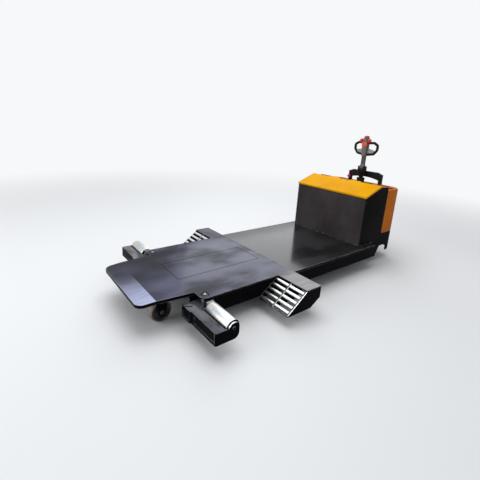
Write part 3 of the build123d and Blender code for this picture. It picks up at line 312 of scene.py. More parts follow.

# Painted shade on the plates' sides and the pocket floors, a dark band along the cover's seam; a
# scratch on the wing, and bare worn edges.
raised = combine(along(deck, "Z", deck_top - 0.0045, deck_top - 0.0010),
                 along(deck, "Y", -1.40, -1.38, 1.0, 0.0), "MAXIMUM")
deck_tone = tinted(combine(raised, upward(deck)), deck_shade, deck_tone)
seam_dark_band = seam_share(deck, cover_middle, cover_half, 0.0042)
deck_tone = tinted(seam_dark_band, deck_tone, seam_black)
wing_scratch = spot(deck, (0.747, -0.288), (0.0018, 0.020))
deck_tone = tinted(combine(wing_scratch, 0.9), deck_tone, deck_black)
deck_edges = combine(edge_share(deck, 0.0036, 0.68), rest_of(seam_dark_band))
pocket_reach = 0.062
for pocket_x in (pivot_x, -pivot_x):
    pocket = spot(deck, (pocket_x, pivot_y), (pocket_reach, pocket_reach))
    deck_edges = combine(deck_edges, rest_of(pocket))

# A thin polish on what faces up, with most of it on the rear plate, over a faintly uneven coat.
deck_polish = combine(levels(deck_wiped, 0.0, 1.0, 0.16, 0.46), combine(rear_share, 0.60),
                      "MAXIMUM")
deck_polish = combine(combine(deck_polish, rest_of(seam_dark_band)),
                      along(deck, "X", -0.52, -0.20, 0.55, 1.0))
deck_fine = cloud(deck, 0.004, detail=2.0)
deck_dull = combine(deck_wiped, combine(deck_fine, 0.25), "ADD")
deck_swell = combine(cloud(deck, 0.16, (0.8, 2.0, 1.0), detail=2.0), 2.4)
feed(deck_shader, {"Base Color": tinted(deck_edges, deck_tone, deck_worn),
                   "Coat Weight": combine(deck_polish, upward(deck)),
                   "Roughness": levels(deck_dull, 0.0, 1.2, 0.22, 0.38)})
bumped(deck_shader, combine(deck_swell, deck_fine, "ADD"), 0.00022)


def merged_copy(node, name):
    """A welded copy of a CAD node's mesh, its flat runs of triangles joined into whole faces."""
    solid = bmesh.new()
    solid.from_mesh(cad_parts[node].data)
    bmesh.ops.remove_doubles(solid, verts=solid.verts, dist=1e-5)
    bmesh.ops.dissolve_limit(solid, angle_limit=math.radians(0.4), verts=solid.verts,
                             edges=solid.edges, delimit=set())
    mesh = mesh_from(solid, name)
    for layer in ("custom_normal", "UVMap"):
        if layer in mesh.attributes:
            mesh.attributes.remove(mesh.attributes[layer])
    return mesh


def mesh_from(shape, name):
    """A finished bmesh kept as a plain mesh."""
    mesh = bpy.data.meshes.new(name)
    shape.to_mesh(mesh)
    shape.free()
    return mesh


def set_shape(piece):
    """A piece's live modifiers turned into its plain mesh."""
    graph = bpy.context.evaluated_depsgraph_get()
    shaped = bpy.data.meshes.new_from_object(piece.evaluated_get(graph))
    piece.modifiers.clear()
    piece.data = shaped


def smooth_below(mesh, angle):
    """Rounded shading, kept sharp at edges over an angle in degrees."""
    mesh.shade_smooth()
    mesh.set_sharp_from_angle(angle=math.radians(angle))


def hand_in(piece, body, slot, *nodes):
    """A finished piece put on its body, and the CAD nodes it stands for hidden. Its slot is not
    used.
    """
    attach(piece, body)
    if nodes:
        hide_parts(*nodes)


def ground_edges(node, body, slot, material, width, steps=2, angle=32.0):
    """A CAD node handed in with its hard edges ground round to a width in metres."""
    piece = place_object(node + "_finished", merged_copy(node, node + "_finished"), material)
    rounding = piece.modifiers.new("ground_edges", "BEVEL")
    rounding.width = width
    rounding.segments = steps
    rounding.limit_method = "ANGLE"
    rounding.angle_limit = math.radians(angle)
    rounding.use_clamp_overlap = False
    rounding.miter_outer = "MITER_ARC"
    set_shape(piece)
    smooth_below(piece.data, angle)
    flats = piece.modifiers.new("true_flats", "WEIGHTED_NORMAL")
    flats.mode = "FACE_AREA"
    flats.keep_sharp = True
    set_shape(piece)
    hand_in(piece, body, slot, node)
    return piece


for node in ("deck_front", "deck_cover", "deck_rear"):
    ground_edges(node, "root", "deck_black", deck_paint, width=0.0018)


# Frame: box rails, side rails and cross members of welded tube and plate, sprayed black. Dust
# lies on its upward faces, and its sides stay deep black.
def enamel(name, colour, film, worn, gloss, patch, gleam=0.01, wax=0.0, stretch=(1.0, 1.0, 1.0),
           edge=0.003, keep=0.5):
    """Sprayed enamel: a dark coat, a film of dust on what faces up, and rubbed edges."""
    material, tree, shader = open_material(name, {"Specular IOR Level": gleam})
    streak = cloud(tree, patch, stretch, detail=6.0, rough=0.6, warp=0.3)
    dusted = combine(levels(streak, 0.36, 0.62, 0.25, 1.0), upward(tree))
    tone = tinted(dusted, colour, film)
    fine = cloud(tree, 0.004, detail=2.0)
    dull = combine(streak, combine(fine, 0.3), "ADD")
    feed(shader, {"Base Color": tinted(edge_share(tree, edge, keep), tone, worn),
                  "Roughness": levels(dull, 0.3, 1.0, *gloss)})
    if wax:
        feed(shader, {"Coat Weight": combine(dusted, wax), "Coat Roughness": 0.12})
    swell = combine(cloud(tree, patch * 1.3, stretch, detail=2.0), 2.2)
    bumped(shader, combine(swell, fine, "ADD"), 0.0003)
    return material


frame_paint = enamel("frame_enamel", colour=(0.0035, 0.0035, 0.0042), film=(0.016, 0.016, 0.019),
                     worn=(0.10, 0.10, 0.11), gloss=(0.24, 0.46), patch=0.08)
for node in ("frame_rails", "side_rails", "cross_members", "frame_brackets"):
    ground_edges(node, "root", "frame_black", frame_paint, width=0.0015)
wheel_mounts = ground_edges("front_wheel_mounts", "root", "frame_black", frame_paint, width=0.0015)

# Pivot pins: blackened steel, each locked by a rounded triangular head that sits in a pocket of
# the deck plate and is held by one bright socket screw in its middle.
# Each head's rim is painted near black, as painted shade in the narrow gap between the head and its
# pocket.
pin_steel = enamel("pin_steel", colour=(0.010, 0.010, 0.013), film=(0.150, 0.152, 0.178),
                   worn=(0.006, 0.006, 0.007), gloss=(0.25, 0.42), patch=0.02, gleam=0.12,
                   edge=0.0045, keep=0.95)
ground_edges("pivot_pins", "root", "pin_steel", pin_steel, width=0.001)


def turned(name, profile, centre, toward, steps=48):
    """A turned body from (rise, radius) points round an axis; an end at radius 0 is closed."""
    shape = bmesh.new()
    rings = []
    for rise, radius in profile:
        if radius < 1e-7:
            rings.append([shape.verts.new((0.0, 0.0, rise))])
        else:
            rings.append([
                shape.verts.new((radius * math.cos(2 * math.pi * k / steps),
                                 radius * math.sin(2 * math.pi * k / steps), rise))
                for k in range(steps)])
    for lower, upper in zip(rings, rings[1:]):
        for k in range(steps):
            n = (k + 1) % steps
            if len(lower) == 1:
                shape.faces.new((lower[0], upper[n], upper[k]))
            elif len(upper) == 1:
                shape.faces.new((lower[k], lower[n], upper[0]))
            else:
                shape.faces.new((lower[k], lower[n], upper[n], upper[k]))
    bmesh.ops.recalc_face_normals(shape, faces=shape.faces)
    turn = Vector((0.0, 0.0, 1.0)).rotation_difference(Vector(toward)).to_matrix().to_4x4()
    shape.transform(Matrix.Translation(Vector(centre)) @ turn)
    mesh = mesh_from(shape, name)
    smooth_below(mesh, 35)
    return mesh


def joined(name, meshes, material):
    """Several meshes, one after another, made one piece."""
    whole = bmesh.new()
    for mesh in meshes:
        whole.from_mesh(mesh)
    mesh = mesh_from(whole, name)
    for face in mesh.polygons:
        face.material_index = 0
    return place_object(name, mesh, material)


def bare_metal(name, light, dark, gloss, grain, shine, marks=None):
    """Bare steel with a fine cloudy grain, and grinding marks of a size if it was ground."""
    material, tree, shader = open_material(name, {"Metallic": 1.0})
    feed(shader, {
        "Base Color": tinted(levels(cloud(tree, 0.01, detail=grain), 0.35, 0.65), dark, light),
        "Roughness": levels(cloud(tree, shine), 0.3, 0.7, *gloss)})
    if marks:
        bumped(shader, cloud(tree, marks, (1.0, 4.0, 1.0), detail=2.0), 0.0001, 0.5)
    return material


def socket_screw(radius, height, socket, centre, toward):
    """A cap screw's head with its round socket."""
    edge = radius * 0.16
    bottom = height - socket * 1.1
    return turned("screw", [
        (0.0, 0.0), (0.0, radius), (height - edge, radius), (height, radius - edge),
        (height, socket + edge * 0.4), (height - edge * 0.4, socket), (bottom, socket),
        (bottom, 0.0)], centre, toward, steps=24)


bright_steel = bare_metal("bright_steel", light=(0.66, 0.66, 0.68), dark=(0.42, 0.42, 0.44),
                          gloss=(0.22, 0.42), grain=4.0, shine=0.004)
lock_top = deck_top - 0.001
lock_screws = [
    socket_screw(radius=0.0085, height=0.0016, socket=0.0045,
                 centre=(way * pivot_x, pivot_y, lock_top), toward=(0, 0, 1))
    for way in (-1, 1)]
hand_in(joined("lock_screws", lock_screws, bright_steel), "root", "pin_steel")

# Folding arms: each a welded box beam on two knuckle plates, with a cheek at each end of its
# roller. The outer cheek is cut round over the roller, and its ground rim shows bright.
arm_paints = {
    side: enamel("arm_enamel_" + side, colour=(0.003, 0.003, 0.004), film=film,
                 worn=(0.30, 0.31, 0.35), gloss=gloss, patch=0.11, wax=0.5,
                 stretch=(2.4, 1.0, 1.0), edge=0.002, keep=0.6)
    for side, film, gloss in (("right", (0.052, 0.055, 0.072), (0.20, 0.40)),
                              ("left", (0.17, 0.165, 0.17), (0.24, 0.42)))}
ground_rim = bare_metal("ground_rim", light=(0.80, 0.80, 0.82), dark=(0.60, 0.60, 0.63),
                        gloss=(0.28, 0.45), grain=5.0, shine=0.003, marks=0.0015)
cheek_cap = enamel("cheek_cap", colour=(0.10, 0.10, 0.11), film=(0.22, 0.22, 0.25),
                   worn=(0.6, 0.6, 0.62), gloss=(0.3, 0.45), patch=0.03, gleam=0.4)


def refinish(piece, material, chosen):
    """Another finish on the faces that a test picks by their middle and outward direction."""
    piece.data.materials.append(material)
    last = len(piece.data.materials) - 1
    for face in piece.data.polygons:
        if chosen(face.center, face.normal):
            face.material_index = last


def open_geometry(name, *sizes):
    """A new geometry tree with its inputs: a path, the named sizes and the finish."""
    tree = bpy.data.node_groups.new(name, "GeometryNodeTree")
    for label, kind in (("Path", "Geometry"), *sizes, ("Finish", "Material")):
        tree.interface.new_socket(label, in_out="INPUT", socket_type="NodeSocket" + kind)
    tree.interface.new_socket("Geometry", in_out="OUTPUT", socket_type="NodeSocketGeometry")
    return tree, add_node(tree, "NodeGroupInput").outputs


def close_geometry(tree, given, instances):
    """Instances made real, given their material and sent out of the tree."""
    real = add_node(tree, "GeometryNodeRealizeInstances", {"Geometry": instances})
    finish = add_node(tree, "GeometryNodeSetMaterial", {
        "Geometry": real.outputs["Geometry"], "Material": given["Finish"]})
    add_node(tree, "NodeGroupOutput", {"Geometry": finish.outputs["Geometry"]})


def grown(name, tree, mesh, angle, **sizes):
    """A path mesh run through a geometry tree and kept as plain faces."""
    piece = place_object(name, mesh)
    growth = piece.modifiers.new("growth", "NODES")
    growth.node_group = tree
    for socket in tree.interface.items_tree:
        label = socket.name.replace(" ", "_").lower()
        if socket.in_out == "INPUT" and label in sizes:
            growth[socket.identifier] = sizes[label]
    set_shape(piece)
    smooth_below(piece.data, angle)
    return piece


# Weld beads: small round beads of uneven size, laid along a seam so close that they run
# together. One tree lays every weld of the machine along the path it is given.
weld_run, weld = open_geometry(
    "weld_run", ("Ripple Pitch", "Float"), ("Bead Radius", "Float"), ("Seed", "Int"))
seam_line = add_node(weld_run, "GeometryNodeMeshToCurve", {"Mesh": weld["Path"]})
seam_steps = add_node(weld_run, "GeometryNodeResampleCurve", {
    "Curve": seam_line.outputs["Curve"], "Length": weld["Ripple Pitch"]}, mode="LENGTH")
seam_points = add_node(weld_run, "GeometryNodeCurveToPoints", {
    "Curve": seam_steps.outputs["Curve"]}, mode="EVALUATED")
bead = add_node(weld_run, "GeometryNodeMeshIcoSphere", {"Radius": 1.0, "Subdivisions": 1})
least, most = 2, 3  # the random value's entries for plain numbers
uneven = add_node(weld_run, "FunctionNodeRandomValue", {
    least: 0.82, most: 1.15, "Seed": weld["Seed"]}, data_type="FLOAT")
bead_size = add_node(weld_run, "ShaderNodeMath", {
    0: uneven.outputs[1], 1: weld["Bead Radius"]}, operation="MULTIPLY")
beads = add_node(weld_run, "GeometryNodeInstanceOnPoints", {
    "Points": seam_points.outputs["Points"], "Instance": bead.outputs["Mesh"],
    "Rotation": seam_points.outputs["Rotation"], "Scale": bead_size.outputs[0]})
close_geometry(weld_run, weld, beads.outputs["Instances"])

# Bolts: a six-sided head that narrows a little to its crown, on a round washer. One tree sets
# them at their places, each turned the way that its place is marked.
washer_wide, washer_thick, crown_narrow = 1.28, 0.36, 0.9
bolt_set, bolt = open_geometry("bolt_set", ("Head Radius", "Float"), ("Head Height", "Float"))
crown_radius, washer_radius, washer_depth = [
    add_node(bolt_set, "ShaderNodeMath", {0: size, 1: part}, operation="MULTIPLY").outputs[0]
    for size, part in ((bolt["Head Radius"], crown_narrow), (bolt["Head Radius"], washer_wide),
                       (bolt["Head Height"], washer_thick))]
hex_head = add_node(bolt_set, "GeometryNodeMeshCone", {
    "Vertices": 6, "Radius Bottom": bolt["Head Radius"], "Radius Top": crown_radius,
    "Depth": bolt["Head Height"]})
washer = add_node(bolt_set, "GeometryNodeMeshCylinder", {
    "Vertices": 20, "Radius": washer_radius, "Depth": washer_depth})
whole_bolt = add_node(bolt_set, "GeometryNodeJoinGeometry", {
    "Geometry": [hex_head.outputs["Mesh"], washer.outputs["Mesh"]]})
toward_mark = add_node(bolt_set, "GeometryNodeInputNamedAttribute", {"Name": "toward"},
                       data_type="FLOAT_VECTOR")
aimed = add_node(bolt_set, "FunctionNodeAlignRotationToVector", {
    "Vector": toward_mark.outputs["Attribute"]}, axis="Z")
bolts = add_node(bolt_set, "GeometryNodeInstanceOnPoints", {
    "Points": bolt["Path"], "Instance": whole_bolt.outputs["Geometry"],
    "Rotation": aimed.outputs["Rotation"]})
close_geometry(bolt_set, bolt, bolts.outputs["Instances"])


def weld_seams(name, runs, body, ripple_pitch, bead_radius, seed):
    """Weld beads along straight runs, each a list of corner points, handed in as one piece."""
    points, edges = [], []
    for run in runs:
        edges += [(len(points) + k, len(points) + k + 1) for k in range(len(run) - 1)]
        points += run
    mesh = bpy.data.meshes.new(name)
    mesh.from_pydata(points, edges, [])
    piece = grown(name, weld_run, mesh, 50, ripple_pitch=ripple_pitch, bead_radius=bead_radius,
                  seed=seed, finish=bead_paint)
    hand_in(piece, body, "frame_black")


def bolt_heads(name, places, body, slot, finish, head_radius, head_height):
    """Bolts at places, each a point and the way its head looks, handed in as one piece."""
    mesh = bpy.data.meshes.new(name)
    mesh.from_pydata([place for place, _ in places], [], [])
    toward = mesh.attributes.new("toward", "FLOAT_VECTOR", "POINT")
    for mark, (_, outward) in zip(toward.data, places):
        mark.vector = outward
    piece = grown(name, bolt_set, mesh, 30, head_radius=head_radius, head_height=head_height,
                  finish=finish)
    hand_in(piece, body, slot)


bead_paint = enamel("bead_enamel", colour=(0.010, 0.010, 0.011), film=(0.20, 0.20, 0.21),
                    worn=(0.5, 0.5, 0.5), gloss=(0.25, 0.4), patch=0.02, gleam=0.3, edge=0.002)
beam_top = 0.200
end_plate_inner = 0.817
cheek_inner, cheek_outer, cheek_front = 0.532, 0.561, -1.134
rim_low, cap_low = beam_top + 0.002, beam_top + 0.030
end_seam_x, knuckle_seam_x, seam_z = 0.8185, 0.5335, beam_top + 0.0003
arm_seams = [
    [(end_seam_x, -1.252, seam_z), (end_seam_x, -1.176, seam_z)],
    [(end_seam_x, -1.2543, 0.196), (end_seam_x, -1.2543, 0.114)],
    [(knuckle_seam_x, -1.252, seam_z), (knuckle_seam_x, -1.176, seam_z)],
    [(0.536, -1.1345, seam_z), (0.558, -1.1345, seam_z)],
]
cheek_bolts = [(0.5327, -1.120, 0.2245), (0.5327, -1.121, 0.1985)]
for side, way in (("right", 1), ("left", -1)):
    body = "arm_" + side
    arm = ground_edges(body, body, "frame_black", arm_paints[side], width=0.0016)
    refinish(arm, ground_rim, lambda c, n: abs(c.x) > end_plate_inner and c.z > rim_low
             and abs(n.x) < 0.5)
    refinish(arm, ground_rim, lambda c, n: abs(c.x) < cheek_outer and c.z > rim_low
             and n.y < -0.6 and c.y > cheek_front - 0.004)
    refinish(arm, cheek_cap, lambda c, n: cheek_inner < abs(c.x) < cheek_outer
             and c.z > cap_low and n.z > 0.7)
    weld_seams("arm_welds_" + side, [[(x * way, y, z) for x, y, z in run] for run in arm_seams],
               body, ripple_pitch=0.0022, bead_radius=0.0018, seed=11)
    bolt_heads("cheek_bolts_" + side, [((x * way, y, z), (-way, 0, 0)) for x, y, z in cheek_bolts],
               body, "pin_steel", bright_steel, head_radius=0.0062, head_height=0.0042)


# Arm rollers: thick turned tubes, zinc plated, with a faint warm and blue cast along the plating
# and fine turning marks round them. They spin on a plain axle held in the arm's two cheeks.
def plated(name, warm, cool, gloss, rubbed=0.6):
    """Zinc plating: a bright metal with a faint colour cast, fine marks, and painted shade
    darkening it underneath.
    """
    rubbed_grey, mark_grey, underside_shade = (0.27, 0.25, 0.22), (0.20, 0.20, 0.20), (0.035, 0.028, 0.022)
    material, tree, shader = open_material(name, {"Metallic": 1.0})
    cast = levels(cloud(tree, 0.05, (2.5, 1.0, 1.0), detail=3.0), 0.32, 0.68)
    marks = cloud(tree, 0.0018, (1.0, 60.0, 60.0), detail=2.0)
    worn = levels(cloud(tree, 0.02, detail=5.0), 0.5, 0.75)
    tone = tinted(combine(worn, rubbed), tinted(cast, warm, cool), rubbed_grey)
    tone = tinted(levels(marks, 0.35, 0.65, 0.0, 0.22), tone, mark_grey)
    # Faces turned down fade to painted shade.
    feed(shader, {"Base Color": tinted(upward(tree, -0.35, 0.50, 1.0, 0.0), tone, underside_shade),
                  "Roughness": levels(combine(marks, worn, "ADD"), 0.3, 1.3, *gloss)})
    bumped(shader, marks, 0.00012, 0.7)
    return material


zinc = plated("zinc_plate", warm=(0.67, 0.625, 0.545), cool=(0.53, 0.59, 0.63), gloss=(0.34, 0.54))
# Roller ends: painted shade, near black on the end faces of the rollers and axles that sit in the
# gaps by the cheeks and plates.
roller_end_shade = enamel("roller_end_cap", colour=(0.006, 0.006, 0.007), film=(0.02, 0.02, 0.02),
                     worn=(0.10, 0.10, 0.10), gloss=(0.3, 0.5), patch=0.02)
roller_low, roller_high, roller_y, roller_z = 0.563, 0.815, -1.110, 0.190
roller_radius, roller_edge = 0.052, 0.003
cap_radius, cap_inset, bush_radius = 0.019, 0.004, 0.0118
axle_low, axle_high, axle_radius, axle_edge = 0.533, 0.830, 0.012, 0.001


def mirrored_profile(half, length):
    """A profile from one end to the middle, carried on to the far end and closed."""
    return half + [(length - rise, radius) for rise, radius in reversed(half)] + [half[0]]


def rod_profile(low, high, radius, edge):
    """A plain rod with its two ends turned down a little."""
    return [(low, 0.0), (low, radius - edge), (low + edge, radius),
            (high - edge, radius), (high, radius - edge), (high, 0.0)]


tube_profile = mirrored_profile([
    (cap_inset, cap_radius), (0.0, cap_radius + 0.002), (0.0, roller_radius - roller_edge),
    (roller_edge * 0.3, roller_radius - roller_edge * 0.3), (roller_edge, roller_radius)],
    roller_high - roller_low)
tube_profile[-1:] = [(roller_high - roller_low - cap_inset, bush_radius),
                     (cap_inset, bush_radius), tube_profile[0]]
axle_profile = rod_profile(axle_low - roller_low, axle_high - roller_low, axle_radius, axle_edge)
for side, way in (("right", 1), ("left", -1)):
    start, toward = (way * roller_low, roller_y, roller_z), (way, 0.0, 0.0)
    roller = joined("arm_roller_" + side + "_finished", [
        turned("tube", tube_profile, start, toward, steps=72),
        turned("axle", axle_profile, start, toward, steps=32)], zinc)
    refinish(roller, roller_end_shade, lambda c, n: abs(n.x) > 0.9)
    hand_in(roller, "arm_roller_" + side, "roller_zinc", "arm_roller_" + side)

# Arm cylinders: painted steel barrels with a gland nut, and a bright hard-chromed rod whose eye
# takes the ear's pin. Each barrel hangs on an anchor pin under the deck.
for side in ("right", "left"):
    ground_edges("cylinder_barrel_" + side, "cylinder_" + side, "frame_black", frame_paint,
                 width=0.001)
    ground_edges("cylinder_rod_" + side, "rod_" + side, "rod_chrome", bright_steel, width=0.0008)

# Roller ramps: three plates under each wing of the deck, their sloping edges ground bright, and
# between them two rows of five small plated rollers on common axles.
ramp_paint = enamel("ramp_enamel", colour=(0.003, 0.003, 0.0036), film=(0.014, 0.014, 0.017),
                    worn=(0.20, 0.20, 0.22), gloss=(0.16, 0.34), patch=0.06, edge=0.003, keep=0.4)
ramp_slope = Vector((0.0, -0.143, 0.190)).normalized()
for side in ("right", "left"):
    ramp = ground_edges("ramp_frame_" + side, "root", "frame_black", ramp_paint, width=0.0012)
    refinish(ramp, ground_rim, lambda c, n: n.dot(ramp_slope) > 0.9)

ramp_zinc = plated("ramp_zinc", warm=(0.80, 0.795, 0.78), cool=(0.72, 0.75, 0.78),
                   gloss=(0.26, 0.42), rubbed=0.3)
drum_spans = [(0.511, 0.6545), (0.6685, 0.812)]
drum_radius, drum_edge = 0.015, 0.0012
hollow_radius, hollow_inset = 0.0095, 0.002
spindle_radius, spindle_edge, spindle_bush = 0.006, 0.0008, 0.0058
drum_half = [(hollow_inset, spindle_bush), (hollow_inset, hollow_radius),
             (0.0, hollow_radius + 0.001), (0.0, drum_radius - drum_edge), (drum_edge, drum_radius)]
for side, way in (("right", 1), ("left", -1)):
    for row in range(1, 6):
        node = "ramp_roller_%s_%d" % (side, row)
        low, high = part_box(node)
        middle_y, middle_z = (low[1] + high[1]) / 2, (low[2] + high[2]) / 2
        inner = min(abs(low[0]), abs(high[0]))
        span = max(abs(low[0]), abs(high[0])) - inner
        toward = (way, 0.0, 0.0)
        parts = [turned("spindle", rod_profile(0.0, span, spindle_radius, spindle_edge),
                        (way * inner, middle_y, middle_z), toward, steps=24)]
        for drum_low, drum_high in drum_spans:
            parts.append(turned("drum", mirrored_profile(drum_half, drum_high - drum_low),
                                (way * drum_low, middle_y, middle_z), toward, steps=36))
        rollers = joined(node + "_finished", parts, ramp_zinc)
        # The drums' and spindle's end faces get the same near-black painted shade.
        refinish(rollers, roller_end_shade, lambda c, n: abs(n.x) > 0.9)
        hand_in(rollers, node, "roller_zinc", node)


# Battery box: folded 4 mm sheet with a fine satin powder coat, stitch-welded to the deck plate
# along its foot, and hinged to its lid at the rear.
def powder(name, colour, speck, gloss, gleam=0.25):
    """Powder coat: a fine even texture with slight clouding and rubbed edges."""
    material, tree, shader = open_material(name, {"Specular IOR Level": gleam})
    fine = cloud(tree, 0.0016, detail=1.0)
    clouding = levels(cloud(tree, 0.35, (1.0, 1.0, 1.4), detail=5.0), 0.35, 0.7)
    scuffs = levels(cloud(tree, 0.03, (1.0, 1.0, 5.0), detail=8.0, warp=1.0), 0.62, 0.72)
    tone = tinted(combine(clouding, combine(scuffs, 0.5), "ADD"), colour, speck)
    rubbed, rubbed_grey = combine(edge_share(tree, 0.0025, 0.35), 0.6), (0.20, 0.19, 0.19)
    feed(shader, {"Base Color": tinted(rubbed, tone, rubbed_grey),
                  "Roughness": levels(combine(clouding, fine, "ADD"), 0.2, 1.8, *gloss)})
    bumped(shader, fine, 0.00025, 0.8)
    return material


box_coat = powder("box_powder_coat", colour=(0.0350, 0.0295, 0.0308), speck=(0.056, 0.049, 0.051),
                  gloss=(0.36, 0.52), gleam=0.01)
# The box's two ends are a painted-shade copy of the coat, much darker than its front.
box_end_shade_coat = powder("box_side_coat", colour=(0.0065, 0.0055, 0.0058), speck=(0.013, 0.0115, 0.012),
                   gloss=(0.36, 0.52), gleam=0.006)
battery_box = ground_edges("battery_box", "root", "box_black", box_coat, width=0.0016)
refinish(battery_box, box_end_shade_coat, lambda c, n: abs(n.x) > 0.8)
box_half, box_front = 0.460, 0.815
half_stitch, bead_out = 0.015, 0.001
foot_runs = [
    [(x + step, box_front - bead_out, deck_top) for step in (-half_stitch, half_stitch)]
    for x in (-0.42, -0.31, -0.205, -0.10, -0.01, 0.10, 0.205, 0.31, 0.42)]
foot_runs += [
    [(way * (box_half + bead_out), y + step, deck_top) for step in (-half_stitch, half_stitch)]
    for way in (-1, 1) for y in (0.85, 0.94)]
weld_seams("box_foot_welds", foot_runs, "root", ripple_pitch=0.0045, bead_radius=0.0032, seed=4)


def surface_place(pieces, start, way):
    """Where a line from a start point first meets some pieces, and the way that surface looks."""
    met = []
    for piece in pieces:
        found, place, outward, _ = piece.ray_cast(Vector(start), Vector(way))
        if found:
            met.append(((place - Vector(start)).length, tuple(place), tuple(outward)))
    _, place, outward = min(met)
    return place, outward


def plug(piece, start, way, radius, height):
    """A small domed plug on a surface, found by looking along a line from a start point."""
    place, outward = surface_place([piece], start, way)
    sunk = 0.001
    return turned("plug", [
        (-sunk, 0.0), (-sunk, radius), (height * 0.45, radius), (height * 0.8, radius * 0.8),
        (height, radius * 0.35), (height, 0.0)], place, outward, steps=20)


plug_black = enamel("plug_black", colour=(0.004, 0.004, 0.004), film=(0.02, 0.02, 0.02),
                    worn=(0.1, 0.1, 0.1), gloss=(0.3, 0.5), patch=0.01, gleam=0.3)
side_plug = plug(battery_box, start=(0.60, 0.849, 0.726), way=(-1, 0, 0), radius=0.0055,
                 height=0.0022)
hand_in(joined("box_side_plug", [side_plug], plug_black), "root", "grip_black")

# Battery: one block in a moulded case of hard dark plastic with rounded corners. It stands on
# the box's floor under the lid.
battery_skin = powder("battery_case", colour=(0.05, 0.05, 0.055), speck=(0.09, 0.09, 0.10),
                      gloss=(0.5, 0.7))
ground_edges("battery_pack", "root", "battery_grey", battery_skin, width=0.006, steps=3)


# Battery lid: a sloping tray of sheet steel, bent down round its edges and sprayed in gloss
# amber. It is hinged to the box at its rear, and two small plugs close the holes in its top.
def gloss_paint(name, colour, shade, gloss, coat=0.1, gleam=0.25, edge_highlight=None):
    """Two-pack gloss paint with a faint orange peel and slight fading, and a painted highlight
    along its edges if one is given.
    """
    material, tree, shader = open_material(name, {
        "Specular IOR Level": gleam, "Coat Weight": coat, "Coat Roughness": 0.10})
    tone = tinted(levels(cloud(tree, 0.4), 0.35, 0.7), colour, shade)
    if edge_highlight:
        tone = tinted(combine(edge_share(tree, 0.003, 0.4), 0.5), tone, edge_highlight)
    dust = levels(cloud(tree, 0.05, detail=6.0), 0.45, 0.8)
    feed(shader, {"Base Color": tone, "Roughness": levels(dust, 0.0, 1.0, *gloss)})
    bumped(shader, cloud(tree, 0.006, detail=1.0), 0.00015, 0.6)
    return material


# The lid's edges carry a lighter painted highlight.
lid_paint = gloss_paint("lid_gloss_amber", colour=(0.70, 0.330, 0.0010),
                        shade=(0.60, 0.265, 0.0010), gloss=(0.2, 0.34), coat=0.015, gleam=0.006,
                        edge_highlight=(0.86, 0.46, 0.03))
battery_lid = ground_edges("battery_lid", "lid", "lid_yellow", lid_paint, width=0.0018, steps=3)
lid_plugs = [plug(battery_lid, start=(x, 1.065, 1.2), way=(0, 0, -1), radius=0.0065, height=0.004)
             for x in (-0.043, 0.043)]
hand_in(joined("lid_plugs", lid_plugs, plug_black), "lid", "grip_black")

# Drive unit: a black welded skirt with an arch on each side, and over it one moulded orange hood
# with two trays let into each side of its top. Screws low in its sides hold the hood.
ground_edges("drive_chassis", "root", "frame_black", frame_paint, width=0.0016)
# The hood's edges carry a lighter painted highlight too.
hood_skin = gloss_paint("hood_moulding", colour=(0.50, 0.142, 0.006), shade=(0.41, 0.108, 0.004),
                        gloss=(0.30, 0.46), coat=0.05, gleam=0.012, edge_highlight=(0.66, 0.30, 0.08))
# The trays' floors and walls are painted dark brown, as painted shade in these hollows.
tray_shade_skin = gloss_paint("tray_moulding", colour=(0.13, 0.036, 0.008), shade=(0.09, 0.025, 0.006),
                        gloss=(0.4, 0.6), coat=0.0, gleam=0.15)
hood = ground_edges("drive_cover", "root", "cover_orange", hood_skin, width=0.0016)
tray_floor, tray_rim = 0.805, 0.8235
tray_spans = [((0.247, 0.353), (1.436, 1.500)), ((0.375, 0.435), (1.341, 1.439))]
refinish(hood, tray_shade_skin, lambda c, n: tray_floor < c.z < tray_rim and any(
    x_span[0] < abs(c.x) < x_span[1] and y_span[0] < c.y < y_span[1]
    for x_span, y_span in tray_spans))
hood_screw_z, hood_screw_ys = 0.352, (1.295, 1.395)
hood_screws = [surface_place([hood], (way * 0.8, y, hood_screw_z), (-way, 0, 0))
               for way in (-1, 1) for y in hood_screw_ys]
bolt_heads("hood_screws", hood_screws, "root", "grip_black", plug_black,
           head_radius=0.0052, head_height=0.003)

# Grab bar: a thick bar of moulded black rubber over steel, bolted to the hood's rear edge, with
# a red stop button on its left post.
rubber_black, rubber, rubber_shader = open_material("soft_black", {"Specular IOR Level": 0.10})
feed(rubber_shader, {
    "Base Color": tinted(levels(cloud(rubber, 0.03, detail=6.0), 0.4, 0.7),
                         (0.006, 0.0055, 0.0055), (0.019, 0.017, 0.0165)),
    "Roughness": levels(cloud(rubber, 0.01), 0.3, 0.7, 0.42, 0.62)})
bumped(rubber_shader, cloud(rubber, 0.0012, detail=1.0), 0.0002, 0.6)
ground_edges("grab_bar", "root", "grip_black", rubber_black, width=0.004, steps=3)
red_cap = gloss_paint("red_moulding", colour=(0.50, 0.020, 0.055), shade=(0.40, 0.014, 0.040),
                      gloss=(0.25, 0.38), coat=0.2)
ground_edges("emergency_stop", "root", "switch_red", red_cap, width=0.0015, steps=3)

# Steering carrier: turntable, gear leg, drive motor, column and tilt clevis, of cast and welded
# iron in dark paint. The whole of it turns in the chassis plate's bearing.
carrier_paint = enamel("carrier_enamel", colour=(0.0075, 0.0065, 0.0070),
                       film=(0.030, 0.027, 0.027), worn=(0.045, 0.042, 0.042), gloss=(0.3, 0.5),
                       patch=0.05, gleam=0.12)
ground_edges("steer_carrier", "steering", "carrier_iron", carrier_paint, width=0.0015)

